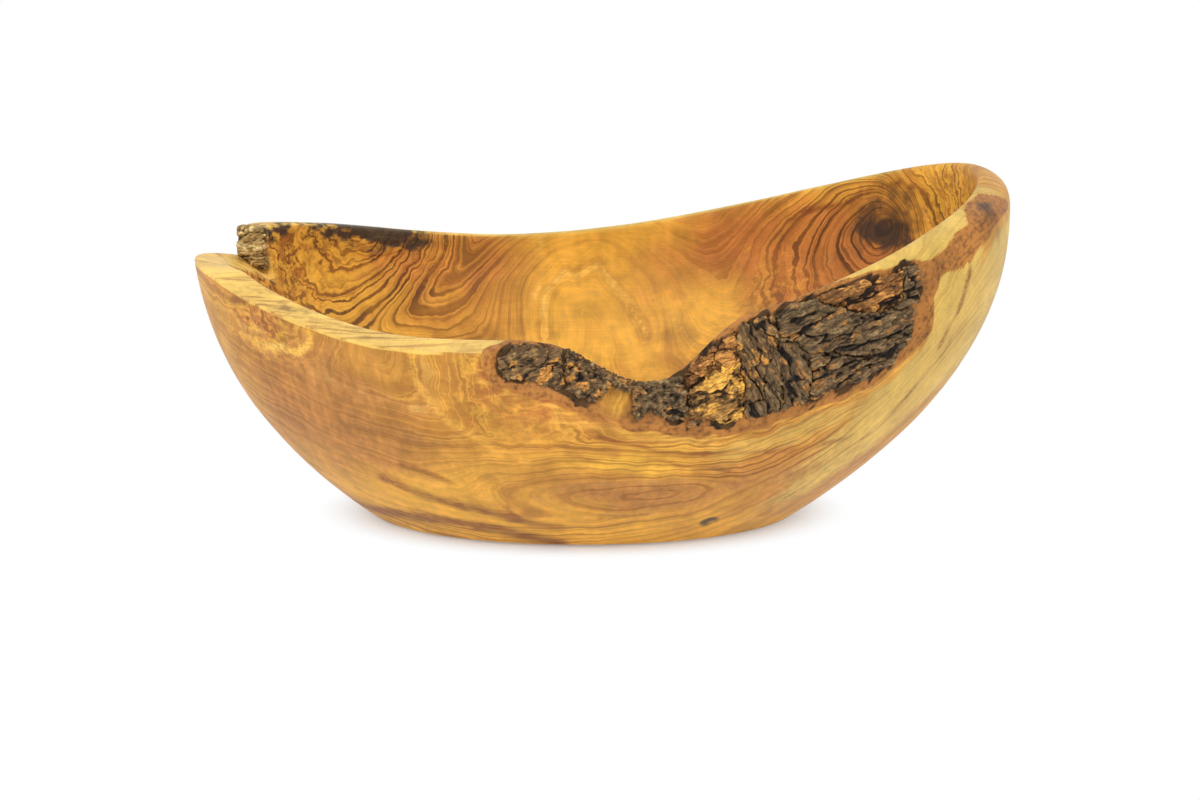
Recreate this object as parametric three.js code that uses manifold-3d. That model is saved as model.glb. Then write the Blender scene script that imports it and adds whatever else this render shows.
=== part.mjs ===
// A rustic oval fruit bowl carved from one olive log, with the log's bark left on its front edge.
// Millimetres, +Z up, +X along the length, -Y towards the front. The origin is the centre of the flat foot.
import * as THREE from "three";
import { TessellateModifier } from "three/addons/modifiers/TessellateModifier.js";
import { mergeVertices } from "three/addons/utils/BufferGeometryUtils.js";
import Module from "manifold-3d";

const wasm = await Module();
wasm.setup();

// Carved outside: half lengths of the oval at the foot and at the brim, and how fast the wall swells.
const FOOT_HALF_LENGTH = 77;
const FOOT_HALF_WIDTH = 44;
const FOOT_EDGE_ROUND = 2.5;
const FOOT_EDGE_RISE = 1.5;
const RIGHT = { brim: 153, height: 112, fullness: 2.1, hollowFullness: 2.2 };
const LEFT = { brim: 140.5, height: 126, fullness: 2.6, hollowFullness: 2.9 };
const SIDE = { brim: 94, height: 90, fullness: 2.1, hollowFullness: 2.3 };
const PLAN_SQUARENESS = 2.06;

// Hollow.
const WALL = 12;
const FLOOR = 14;

// The log: its round top sets the height of the brim, higher at the right end and lowest at the sides.
const LOG_RADIUS = 132;
const LOG_CREST = 115;
const LOG_RISE_ALONG_X = 0.094;
const LOG_RISE_ALONG_Y = 0.038;

// Brim: it falls a little towards the outside, less at the left end, and its corners are sanded round.
const BRIM_FALL = { right: 2.5, left: 1, from: 0.2, full: 0.75 };
const BRIM_ROUND = 2.4;
const END_ROUND = 6.5;
const END_FALL = 4.5;
const END_FADE = 4;
const ROUND_MOST = 0.45;

// Waves of the brim below and above the log's skin: the front dip, a swell left of it and a low back.
const BRIM_WAVES = [
  { angle: -79.5, rise: -16, left: 15.5, right: 12.3 },
  { angle: -100, rise: 3.6, left: 26, right: 14 },
  { angle: 100, rise: -1.5, left: 45, right: 40 },
];

// Natural face: where the log's own skin cuts the wall at the front, a long bevel under the brim.
const LEDGE = { depth: 10.5, start: -103.5, full: -100.5, fade: -84, end: -74 };
const FACE = { depth: 36, start: -84, full: -67, fade: -48, end: -18 };
const LIP_LEAST = 2.2;
const LIP_MOST = 0.98;
const LIP = { start: -104, full: -99, fade: -62, end: -16 };

// Notch at the left end, where the brim slopes down to a broken step and tilts into the hollow.
const NOTCH = { depth: 21.5, tilt: 9.5, rampStart: 204, ease: 1.15, floor: 158.8, step: 157 };

// Bark: plates parted by cracks on the natural face. They thin out towards its lower edge and its lip.
const BARK_GAP = 0.3;
const CRACK = 1.2;
const BARK_THIN_SHARE = 0.3;
const BARK_AT_FOOT = 0.25;
const BARK_AT_LIP = 0.5;
const BARK_RIDGE = { height: 0.22, spacing: 9, slant: 2 };
const BARK_FACET = 6;
const ARC_PER_DEGREE = 2.3;

// Where the cracks and edges of the bark meet: degrees round the oval, and share of the face's height.
const JUNCTIONS = {
  tipLow: [-101.6, 0.4],
  tipFoot: [-100.4, 0.14],
  patchFoot: [-95, 0.05],
  patchEnd: [-91.9, 0.05],
  patchTop: [-92.4, 0.96],
  patchCrown: [-96.7, 0.97],
  tipCrown: [-99.6, 0.95],
  tipHigh: [-101.4, 0.72],
  ridgeFoot: [-88.3, 0.05],
  tongueLeft: [-87.5, 0.25],
  tongueTop: [-86.3, 0.68],
  tongueRight: [-83.2, 0.76],
  ridgeCrown: [-83.4, 0.97],
  dipFoot: [-83.6, 0.2],
  dipLow: [-82.6, 0.1],
  dipWave: [-80.5, 0.36],
  dipRight: [-77.5, 0.18],
  tagLeft: [-75.5, 0.15],
  shoulderFoot: [-75.6, 0.62],
  shoulderCrown: [-76.3, 0.96],
  tagLow: [-75.2, 0.02],
  tagEnd: [-73.4, 0.02],
  tagRight: [-72.7, 0.14],
  shoulderEnd: [-72.6, 0.7],
  shoulderTop: [-71.6, 0.97],
  ochreFoot: [-69.8, 0.07],
  ochreEnd: [-66.9, 0.06],
  ochreRise: [-67, 0.24],
  ochreHigh: [-68.3, 0.64],
  ochreCrown: [-69.2, 0.97],
  seamLow: [-64.2, 0.22],
  seamHigh: [-64.8, 0.5],
  forkTop: [-63.3, 0.97],
  fork: [-62.8, 0.68],
  forkMiddle: [-62.2, 0.46],
  forkFoot: [-61, 0.05],
  branch: [-58.5, 0.52],
  branchMiddle: [-57.6, 0.26],
  branchFoot: [-57.4, 0.05],
  bendHigh: [-60.3, 0.65],
  bendMiddle: [-56.2, 0.48],
  bendLow: [-52, 0.35],
  bendEnd: [-48.5, 0.26],
  lowMiddle: [-52, 0.04],
  lowRight: [-47.2, 0.05],
  largeFoot: [-44, 0.07],
  largeCorner: [-41.8, 0.13],
  largeEnd: [-41, 0.34],
  largeTop: [-41.8, 0.52],
  upperEnd: [-44.8, 0.58],
  upperBend: [-53.4, 0.78],
  upperStart: [-57.6, 0.97],
  endFoot: [-43.2, 0.66],
  endCrown: [-43.3, 0.94],
  upperCrown: [-50, 0.97],
  lastFoot: [-40.3, 0.5],
  lastTip: [-39.8, 0.7],
  lastCrown: [-40.4, 0.92],
};

const DARK_BARK = { color: 0x3f3223, roughness: 0.95 };
const OCHRE_BARK = { color: 0xa0692b, roughness: 0.85 };

// Each plate: its finish, its thickness and the junctions round it.
const PLATES = {
  bark_left_patch: [DARK_BARK, 2, "tipLow tipFoot patchFoot patchEnd patchTop patchCrown tipCrown tipHigh"],
  bark_left_ridge: [
    DARK_BARK,
    2.2,
    "patchEnd ridgeFoot tongueLeft tongueTop tongueRight ridgeCrown patchTop",
  ],
  bark_dip_ridge: [
    DARK_BARK,
    2.4,
    "tongueRight dipFoot dipLow dipWave dipRight tagLeft shoulderFoot shoulderCrown ridgeCrown",
  ],
  bark_hanging_tag: [DARK_BARK, 2.6, "tagLeft tagLow tagEnd tagRight"],
  bark_dip_shoulder: [DARK_BARK, 2.6, "shoulderCrown shoulderFoot shoulderEnd shoulderTop"],
  bark_ochre_lower: [
    OCHRE_BARK,
    2,
    "shoulderFoot tagLeft tagRight ochreFoot ochreEnd ochreRise ochreHigh shoulderEnd",
  ],
  bark_ochre_upper: [OCHRE_BARK, 1.8, "shoulderTop shoulderEnd ochreHigh ochreCrown"],
  bark_plate_upper_left: [DARK_BARK, 3, "ochreCrown ochreHigh ochreRise seamLow seamHigh fork forkTop"],
  bark_plate_lower_left: [DARK_BARK, 2.7, "ochreRise ochreEnd forkFoot forkMiddle fork seamHigh seamLow"],
  bark_plate_middle: [DARK_BARK, 3.4, "fork forkMiddle forkFoot branchFoot branchMiddle branch bendHigh"],
  bark_plate_lower_right: [
    DARK_BARK,
    2.6,
    "branch branchMiddle branchFoot lowMiddle lowRight bendEnd bendLow bendMiddle",
  ],
  bark_plate_large: [
    DARK_BARK,
    3.6,
    "forkTop fork bendHigh branch bendMiddle bendLow bendEnd lowRight " +
      "largeFoot largeCorner largeEnd largeTop upperEnd upperBend upperStart",
  ],
  bark_plate_upper_right: [OCHRE_BARK, 2.2, "upperStart upperBend upperEnd endFoot endCrown upperCrown"],
  bark_plate_end: [DARK_BARK, 2.6, "endCrown endFoot upperEnd largeTop lastFoot lastTip lastCrown"],
};

// Broken bark on the notch's step, and a plug of bark grown into the hollow's wall under the back brim.
const STEP_BARK = { thickness: 2.6, fromFloor: 0.16, toTop: 0.9, edge: 0.15 };
const POCKET = { angle: 129, drop: 7.5, halfLength: 11, halfHeight: 4.2, depth: 3.2, proud: 0.4 };

// How finely the loft is cut.
const COARSE_STEP = 5;
const FINE_STEP = 1.6;
const FINE_FROM = -106;
const FINE_TO = -14;
const WALL_ROWS = 10;
const FACE_ROWS = 5;
const ROUND_ROWS = 2;
const HOLLOW_ROWS = 11;
const WALL_BUNCHING = 1.25;
const HOLLOW_BUNCHING = 1.9;
const PROBE_ANGLE = 0.2;
const PROBE_SHARE = 0.01;
const OVAL_POINTS = 20;

const radians = THREE.MathUtils.degToRad;
const { clamp, lerp, smoothstep } = THREE.MathUtils;

// 1 between full and fade, 0 before start and after end, with smooth slopes.
function plateau(angle, { start, full, fade, end }) {
  return smoothstep(angle, start, full) * (1 - smoothstep(angle, fade, end));
}

// Degrees round the oval from -180 to 180, with 0 at the right end and -90 at the front.
function wrapAngle(angle) {
  return THREE.MathUtils.euclideanModulo(angle + 180, 360) - 180;
}

// A point of an oval with its own reach to the right, to the left and to the sides.
function ovalPoint(angle, z, reach) {
  const along = Math.cos(radians(angle));
  const across = Math.sin(radians(angle));
  const power = 2 / PLAN_SQUARENESS;
  const end = reach(along > 0 ? RIGHT : LEFT, FOOT_HALF_LENGTH, z);
  const side = reach(SIDE, FOOT_HALF_WIDTH, z);
  const x = Math.sign(along) * end * Math.abs(along) ** power;
  const y = Math.sign(across) * side * Math.abs(across) ** power;
  return new THREE.Vector3(x, y, z);
}

// The carved outside swells from the foot to the brim.
function outsideReach(form, foot, z) {
  const left = 1 - Math.min(z / form.height, 1);
  return foot + (form.brim - foot) * (1 - left ** form.fullness);
}

// The hollow opens from a point on its floor, flat in the middle, to one wall inside the brim.
function hollowReach(form, foot, z) {
  const left = 1 - clamp((z - FLOOR) / (form.height - FLOOR), 0, 1);
  return (form.brim - WALL) * Math.sqrt(1 - left ** form.hollowFullness);
}

const outsidePoint = (angle, z) => ovalPoint(angle, z, outsideReach);
const hollowPoint = (angle, z) => ovalPoint(angle, z, hollowReach);

// Height of the log's skin over a point of the plan.
function logHeight({ x, y }) {
  const round = LOG_RADIUS - Math.sqrt(LOG_RADIUS ** 2 - y ** 2);
  return LOG_CREST + LOG_RISE_ALONG_X * x + LOG_RISE_ALONG_Y * y - round;
}

// How far one wave lifts the brim off the log's skin.
function waveRise(angle, wave) {
  const off = wrapAngle(angle - wave.angle);
  const share = Math.abs(off) / (off < 0 ? wave.left : wave.right);
  return share < 1 ? wave.rise * Math.cos((share * Math.PI) / 2) ** 2 : 0;
}

// How much of the left notch there is: a long ramp from the front, and a steep step at the back.
function notchShare(angle) {
  const turn = THREE.MathUtils.euclideanModulo(angle, 360);
  const ramp = clamp((NOTCH.rampStart - turn) / (NOTCH.rampStart - NOTCH.floor), 0, 1) ** NOTCH.ease;
  return ramp * clamp((turn - NOTCH.step) / (NOTCH.floor - NOTCH.step), 0, 1);
}

// Height of the brim's inner edge.
function brimHeight(angle) {
  let z = LOG_CREST;
  for (let pass = 0; pass < 12; pass += 1) z = logHeight(hollowPoint(angle, z));
  const waves = BRIM_WAVES.reduce((rise, wave) => rise + waveRise(angle, wave), 0);
  return z + waves - NOTCH.depth * notchShare(angle);
}

// 1 at the high end, fading away from it.
function endShare(angle) {
  return Math.max(0, Math.cos(radians(angle))) ** END_FADE;
}

// How far the sawn brim falls from its inner edge to the outside.
function brimFall(angle) {
  const leftward = smoothstep(-Math.cos(radians(angle)), BRIM_FALL.from, BRIM_FALL.full);
  const level = lerp(BRIM_FALL.right, BRIM_FALL.left, leftward);
  return level + END_FALL * endShare(angle) - NOTCH.tilt * notchShare(angle);
}

// How far the natural face takes the brim's outer edge down below that.
function faceFall(angle) {
  return LEDGE.depth * plateau(angle, LEDGE) + FACE.depth * plateau(angle, FACE);
}

// Width of the sawn lip that is left between the natural face and the hollow.
function lipWidth(angle) {
  return WALL + (LIP_LEAST - WALL) * plateau(angle, LIP);
}

// The three corners of the brim at an angle: outer edge, lip and inner edge.
function brimCorners(angle) {
  const top = brimHeight(angle);
  const inner = hollowPoint(angle, top);
  const rim = top - brimFall(angle);
  const outer = outsidePoint(angle, rim - faceFall(angle));
  const share = lipWidth(angle) / WALL;
  const lip = inner.clone().lerp(outsidePoint(angle, rim), share * LIP_MOST);
  return { inner, lip, outer };
}

// A rounded corner as a few points, from one side of the corner to the other.
function roundedCorner(before, corner, after, radius) {
  const reach = (to) => corner.clone().lerp(to, Math.min(ROUND_MOST, radius / corner.distanceTo(to)));
  return new THREE.QuadraticBezierCurve3(reach(before), corner, reach(after)).getPoints(ROUND_ROWS);
}

// One section of the wall, from the middle of the foot up the outside, over the brim and down the hollow.
function wallSection(angle) {
  const { inner, lip, outer } = brimCorners(angle);
  const radius = lerp(BRIM_ROUND, END_ROUND, endShare(angle));
  const edge = Math.min(radius, LIP_LEAST);
  const wallTop = outer.z - radius - FOOT_EDGE_RISE;
  const points = [ovalPoint(angle, 0, (form, foot) => foot - FOOT_EDGE_ROUND)];
  for (let row = 0; row < WALL_ROWS; row += 1) {
    points.push(outsidePoint(angle, FOOT_EDGE_RISE + wallTop * (row / WALL_ROWS) ** WALL_BUNCHING));
  }
  const face = roundedCorner(outsidePoint(angle, outer.z - radius * 2), outer, lip, radius);
  const lipStart = roundedCorner(outer, lip, inner, edge);
  points.push(...face);
  for (let row = 1; row < FACE_ROWS; row += 1) {
    points.push(face.at(-1).clone().lerp(lipStart[0], row / FACE_ROWS));
  }
  points.push(...lipStart);
  points.push(...roundedCorner(lip, inner, hollowPoint(angle, inner.z - radius * 2), edge));
  for (let row = 1; row < HOLLOW_ROWS; row += 1) {
    const share = (1 - row / HOLLOW_ROWS) ** HOLLOW_BUNCHING;
    points.push(hollowPoint(angle, FLOOR + (inner.z - radius - FLOOR) * share));
  }
  return points;
}

// A closed solid from sections round an axis, with one point at each end of every section's run.
function loftSections(sections, first, last) {
  const rows = sections[0].length;
  const points = [first, ...sections.flat(), last];
  const at = (column, row) => 1 + (column % sections.length) * rows + row;
  const index = [];
  for (let column = 0; column < sections.length; column += 1) {
    index.push(0, at(column + 1, 0), at(column, 0));
    for (let row = 0; row + 1 < rows; row += 1) {
      index.push(at(column, row), at(column + 1, row), at(column + 1, row + 1));
      index.push(at(column, row), at(column + 1, row + 1), at(column, row + 1));
    }
    index.push(at(column, rows - 1), at(column + 1, rows - 1), points.length - 1);
  }
  return new THREE.BufferGeometry().setFromPoints(points).setIndex(index);
}

// Angles of the sections: fine along the natural face and at the notch, coarse elsewhere.
function sectionAngles() {
  const angles = [];
  for (let angle = FINE_FROM; angle < FINE_TO; angle += FINE_STEP) angles.push(angle);
  const rest = 360 - (FINE_TO - FINE_FROM);
  const steps = Math.round(rest / COARSE_STEP);
  for (let step = 0; step < steps; step += 1) angles.push(FINE_TO + (rest * step) / steps);
  const notch = [NOTCH.step, NOTCH.floor];
  const apart = (angle) => notch.every((near) => Math.abs(angle - near) > FINE_STEP);
  return [...angles.filter(apart), ...notch].sort((a, b) => a - b);
}

function bowlBody() {
  const sections = sectionAngles().map((angle) => wallSection(wrapAngle(angle)));
  return loftSections(sections, new THREE.Vector3(0, 0, 0), new THREE.Vector3(0, 0, FLOOR));
}

// A closed geometry with only its corners, shared between its faces.
function weld(geometry) {
  geometry.deleteAttribute("normal");
  geometry.deleteAttribute("uv");
  return mergeVertices(geometry, 1e-5);
}

// An outline drawn flat, one unit thick, cut into small facets and then bent to shape by place(point).
function wrapOutline(outline, facet, place) {
  const flat = new THREE.ExtrudeGeometry(new THREE.Shape(outline), { depth: 1, bevelEnabled: false });
  const fine = weld(new TessellateModifier(facet, 30).modify(weld(flat).toNonIndexed()));
  const points = fine.getAttribute("position");
  for (let i = 0; i < points.count; i += 1) {
    const placed = place(new THREE.Vector3().fromBufferAttribute(points, i));
    points.setXYZ(i, placed.x, placed.y, placed.z);
  }
  return fine;
}

// The outline drawn in by a margin on every side.
function inset(outline, margin) {
  const turn = THREE.ShapeUtils.isClockWise(outline) ? -1 : 1;
  return outline.map((point, i) => {
    const before = point.clone().sub(outline.at(i - 1)).normalize();
    const after = outline[(i + 1) % outline.length].clone().sub(point).normalize();
    const inward = new THREE.Vector2(-before.y - after.y, before.x + after.x).multiplyScalar(turn);
    const spread = Math.max(0.3, inward.lengthSq() / 2);
    return point.clone().addScaledVector(inward, margin / spread);
  });
}

// The natural face: a ruled surface from the brim's outer edge to its lip.
function facePoint(angle, share) {
  const { lip, outer } = brimCorners(angle);
  return outer.lerp(lip, share);
}

function faceHeight(angle) {
  const { lip, outer } = brimCorners(angle);
  return outer.distanceTo(lip);
}

// The direction out of the bark, away from the hollow.
function faceNormal(angle, share) {
  const along = facePoint(angle + PROBE_ANGLE, share).sub(facePoint(angle - PROBE_ANGLE, share));
  const up = facePoint(angle, share + PROBE_SHARE).sub(facePoint(angle, share - PROBE_SHARE));
  return along.cross(up).normalize();
}

// How thick a plate is at a place: thin at the face's foot and lip, and ridged along the log.
function barkThickness(thickness, angle, share) {
  const foot = lerp(BARK_AT_FOOT, 1, smoothstep(share, 0, BARK_THIN_SHARE));
  const lip = lerp(1, BARK_AT_LIP, smoothstep(share, 1 - BARK_THIN_SHARE, 1));
  const slant = BARK_RIDGE.slant * share * faceHeight(angle);
  const wave = (angle * ARC_PER_DEGREE + slant) / BARK_RIDGE.spacing;
  return thickness * foot * lip * (1 + BARK_RIDGE.height * Math.sin(wave * 2 * Math.PI));
}

function barkPlate(thickness, corners) {
  const outline = corners.split(" ").map((name) => {
    const [angle, share] = JUNCTIONS[name];
    return new THREE.Vector2(angle * ARC_PER_DEGREE, share * faceHeight(angle));
  });
  return wrapOutline(inset(outline, CRACK / 2), BARK_FACET, ({ x, y, z }) => {
    const angle = x / ARC_PER_DEGREE;
    const share = y / faceHeight(angle);
    const lift = BARK_GAP + z * barkThickness(thickness, angle, share);
    return facePoint(angle, share).addScaledVector(faceNormal(angle, share), lift);
  });
}

// A slab of broken bark that leans on the notch's step, from its tilted floor to just under the brim.
function stepBark() {
  const { thickness, fromFloor, toTop, edge } = STEP_BARK;
  const foot = brimCorners(NOTCH.floor);
  const head = brimCorners(NOTCH.step);
  const height = head.inner.z - foot.inner.z;
  const stepBack = foot.inner.distanceTo(hollowPoint(NOTCH.step, foot.inner.z));
  const arc = stepBack / (NOTCH.floor - NOTCH.step);
  const outline = [
    [edge, fromFloor],
    [1 - edge, fromFloor],
    [1 - edge, toTop],
    [edge, toTop],
  ].map(([across, up]) => new THREE.Vector2(across * WALL, up * height));
  return wrapOutline(outline, BARK_FACET / 2, ({ x, y, z }) => {
    const across = x / WALL;
    const up = y / height;
    const low = lerp(foot.outer.z, foot.inner.z, across);
    const level = lerp(low, lerp(head.outer.z, head.inner.z, across), up);
    const angle = lerp(NOTCH.floor, NOTCH.step, up) + (2 * BARK_GAP + z * thickness) / arc;
    return outsidePoint(angle, level).lerp(hollowPoint(angle, level), across);
  });
}

// A lens sunk into the hollow's wall, drawn out to the sides along the brim.
function pocketLens(margin, from, to) {
  const { angle, drop, halfLength, halfHeight } = POCKET;
  const centre = brimHeight(angle) - drop;
  const oval = new THREE.EllipseCurve(0, 0, halfLength - margin, halfHeight - margin);
  const step = hollowPoint(angle, centre).distanceTo(hollowPoint(angle + 1, centre));
  const out = new THREE.Vector3();
  return wrapOutline(oval.getPoints(OVAL_POINTS).slice(0, -1), BARK_FACET, ({ x, y, z }) => {
    const place = hollowPoint(angle - x / step, centre + y);
    out.set(-place.x / (RIGHT.brim + LEFT.brim), -place.y / (2 * SIDE.brim), 0).normalize();
    return place.addScaledVector(out, lerp(from, to, z));
  });
}

function toSolid(geometry) {
  const vertProperties = geometry.getAttribute("position").array;
  const triVerts = Uint32Array.from(geometry.getIndex().array);
  return new wasm.Manifold(new wasm.Mesh({ numProp: 3, vertProperties, triVerts }));
}

function toGeometry(solid) {
  const { vertProperties, triVerts } = solid.getMesh();
  const geometry = new THREE.BufferGeometry();
  geometry.setAttribute("position", new THREE.BufferAttribute(vertProperties, 3));
  return geometry.setIndex(new THREE.BufferAttribute(triVerts, 1));
}

const bowl = new THREE.Group();

function addPiece(name, geometry, { color, roughness }) {
  const mesh = new THREE.Mesh(geometry, new THREE.MeshStandardMaterial({ color, roughness, metalness: 0 }));
  mesh.name = name;
  bowl.add(mesh);
}

const OLIVE_WOOD = { color: 0xc08a3e, roughness: 0.45 };
const pocketCut = toSolid(pocketLens(0, -POCKET.depth, WALL));
addPiece("bowl_body", toGeometry(toSolid(bowlBody()).subtract(pocketCut)), OLIVE_WOOD);
for (const [name, [finish, thickness, corners]] of Object.entries(PLATES)) {
  addPiece(name, barkPlate(thickness, corners), finish);
}
addPiece("bark_step_face", stepBark(), OCHRE_BARK);
addPiece("bark_pocket", pocketLens(BARK_GAP, BARK_GAP - POCKET.depth, POCKET.proud), DARK_BARK);

export default bowl;
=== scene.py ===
"""Looks of a rustic oval bowl carved from one olive log, with bark left on its front brim.

The bowl stands on its flat foot at the origin. +X runs along the log to the high end, -Y faces the front
with the bark, and +Z is up. Sizes are in millimetres, and a mesh is made in metres.
"""

import itertools
import logging
import math
from dataclasses import dataclass, field, fields
from enum import Enum
from typing import Any, Mapping, Sequence

import bmesh
import bpy
import numpy as np
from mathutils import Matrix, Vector
from mathutils.bvhtree import BVHTree


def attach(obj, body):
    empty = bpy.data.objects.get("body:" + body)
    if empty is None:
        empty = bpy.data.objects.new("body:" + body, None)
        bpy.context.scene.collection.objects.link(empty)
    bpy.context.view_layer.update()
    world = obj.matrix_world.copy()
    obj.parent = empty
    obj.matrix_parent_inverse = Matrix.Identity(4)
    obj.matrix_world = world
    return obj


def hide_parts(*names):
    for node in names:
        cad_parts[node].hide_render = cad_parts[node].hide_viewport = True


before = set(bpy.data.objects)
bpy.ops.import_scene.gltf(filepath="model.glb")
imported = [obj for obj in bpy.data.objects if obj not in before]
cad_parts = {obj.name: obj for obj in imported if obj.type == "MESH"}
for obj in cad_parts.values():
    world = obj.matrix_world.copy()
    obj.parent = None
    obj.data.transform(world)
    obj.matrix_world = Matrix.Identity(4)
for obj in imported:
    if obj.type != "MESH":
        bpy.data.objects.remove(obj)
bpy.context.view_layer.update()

Array = np.ndarray
Point = tuple[float, float, float]
Piece = bpy.types.Object
Socket = bpy.types.NodeSocket

log = logging.getLogger("bowl")

MM = 0.001
BODY = "root"
# Farther from the bark than any trace of it reaches.
FAR = 100.0
WHITE = (1.0, 1.0, 1.0, 1.0)


def ramp(value: Array, start: float, end: float) -> Array:
    """Rises smoothly from 0 at start to 1 at end.

    Args:
        value: Where to read the rise.
        start: The value at which it starts.
        end: The value at which it is complete.

    Returns:
        The share of the rise, from 0 to 1.
    """
    share = np.clip((value - start) / (end - start), 0, 1)
    return share * share * (3 - 2 * share)


def linear(colour: str) -> tuple[float, float, float, float]:
    """Turns an sRGB hex colour into Blender's linear one.

    Args:
        colour: Six hex digits, such as "c08a3e".

    Returns:
        Red, green, blue and a full alpha.
    """
    shares = [int(colour[i:i + 2], 16) / 255 for i in (0, 2, 4)]
    red, green, blue = [s / 12.92 if s <= 0.04045 else ((s + 0.055) / 1.055) ** 2.4 for s in shares]
    return red, green, blue, 1.0


class SmoothNoise:
    """A field of random swells in space that is the same on every run."""

    CELLS = 256
    SPAN = 1.6

    def __init__(self, seed: int) -> None:
        """Draws the slopes of the swells from a seed.

        Args:
            seed: Which swells to draw.
        """
        rng = np.random.default_rng(seed)
        self.order = np.tile(rng.permutation(self.CELLS), 2)
        slopes = rng.normal(size=(self.CELLS, 3))
        self.slopes = slopes / np.linalg.norm(slopes, axis=1, keepdims=True)

    def at(self, points: Array, size: float) -> Array:
        """Reads the field.

        Args:
            points: Places, one a row.
            size: The width of a swell.

        Returns:
            A value of about -1 to 1 for each place.
        """
        scaled = points / size
        cell = np.floor(scaled).astype(int)
        local = scaled - cell
        fade = local ** 3 * (local * (local * 6 - 15) + 10)
        total = np.zeros(len(points))
        for corner in itertools.product((0, 1), repeat=3):
            ids = (cell + corner) % self.CELLS
            turn = self.order[self.order[self.order[ids[:, 0]] + ids[:, 1]] + ids[:, 2]]
            weight = np.prod(np.where(corner, fade, 1 - fade), axis=1)
            total += weight * np.einsum("ij,ij->i", self.slopes[turn], local - corner)
        return total * self.SPAN


@dataclass(frozen=True)
class WallReach:
    """How far the wall stands out from the middle, at one end or at the sides."""

    foot: float
    brim: float
    height: float
    fullness: float
    hollow_fullness: float

    def outside(self, z: Array) -> Array:
        """Gives the reach of the outside at each height."""
        left = 1 - np.minimum(z / self.height, 1)
        return self.foot + (self.brim - self.foot) * (1 - left ** self.fullness)

    def hollow(self, z: Array, floor: float, wall: float) -> Array:
        """Gives the reach of the hollow at each height, over a floor and inside a wall."""
        left = 1 - np.clip((z - floor) / (self.height - floor), 0, 1)
        return (self.brim - wall) * np.sqrt(1 - left ** self.hollow_fullness)


@dataclass(frozen=True)
class BrimWave:
    """A rise or a fall of the brim round one angle, in degrees, with its own run to the left and right."""

    angle: float
    rise: float
    left: float
    right: float


@dataclass(frozen=True)
class BrimStretch:
    """A change along the brim that fades in, holds and fades out again, by angle in degrees."""

    start: float
    full: float
    fade: float
    end: float

    def share(self, angle: Array) -> Array:
        """Gives the share of the change at each angle."""
        return ramp(angle, self.start, self.full) * (1 - ramp(angle, self.fade, self.end))


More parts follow.
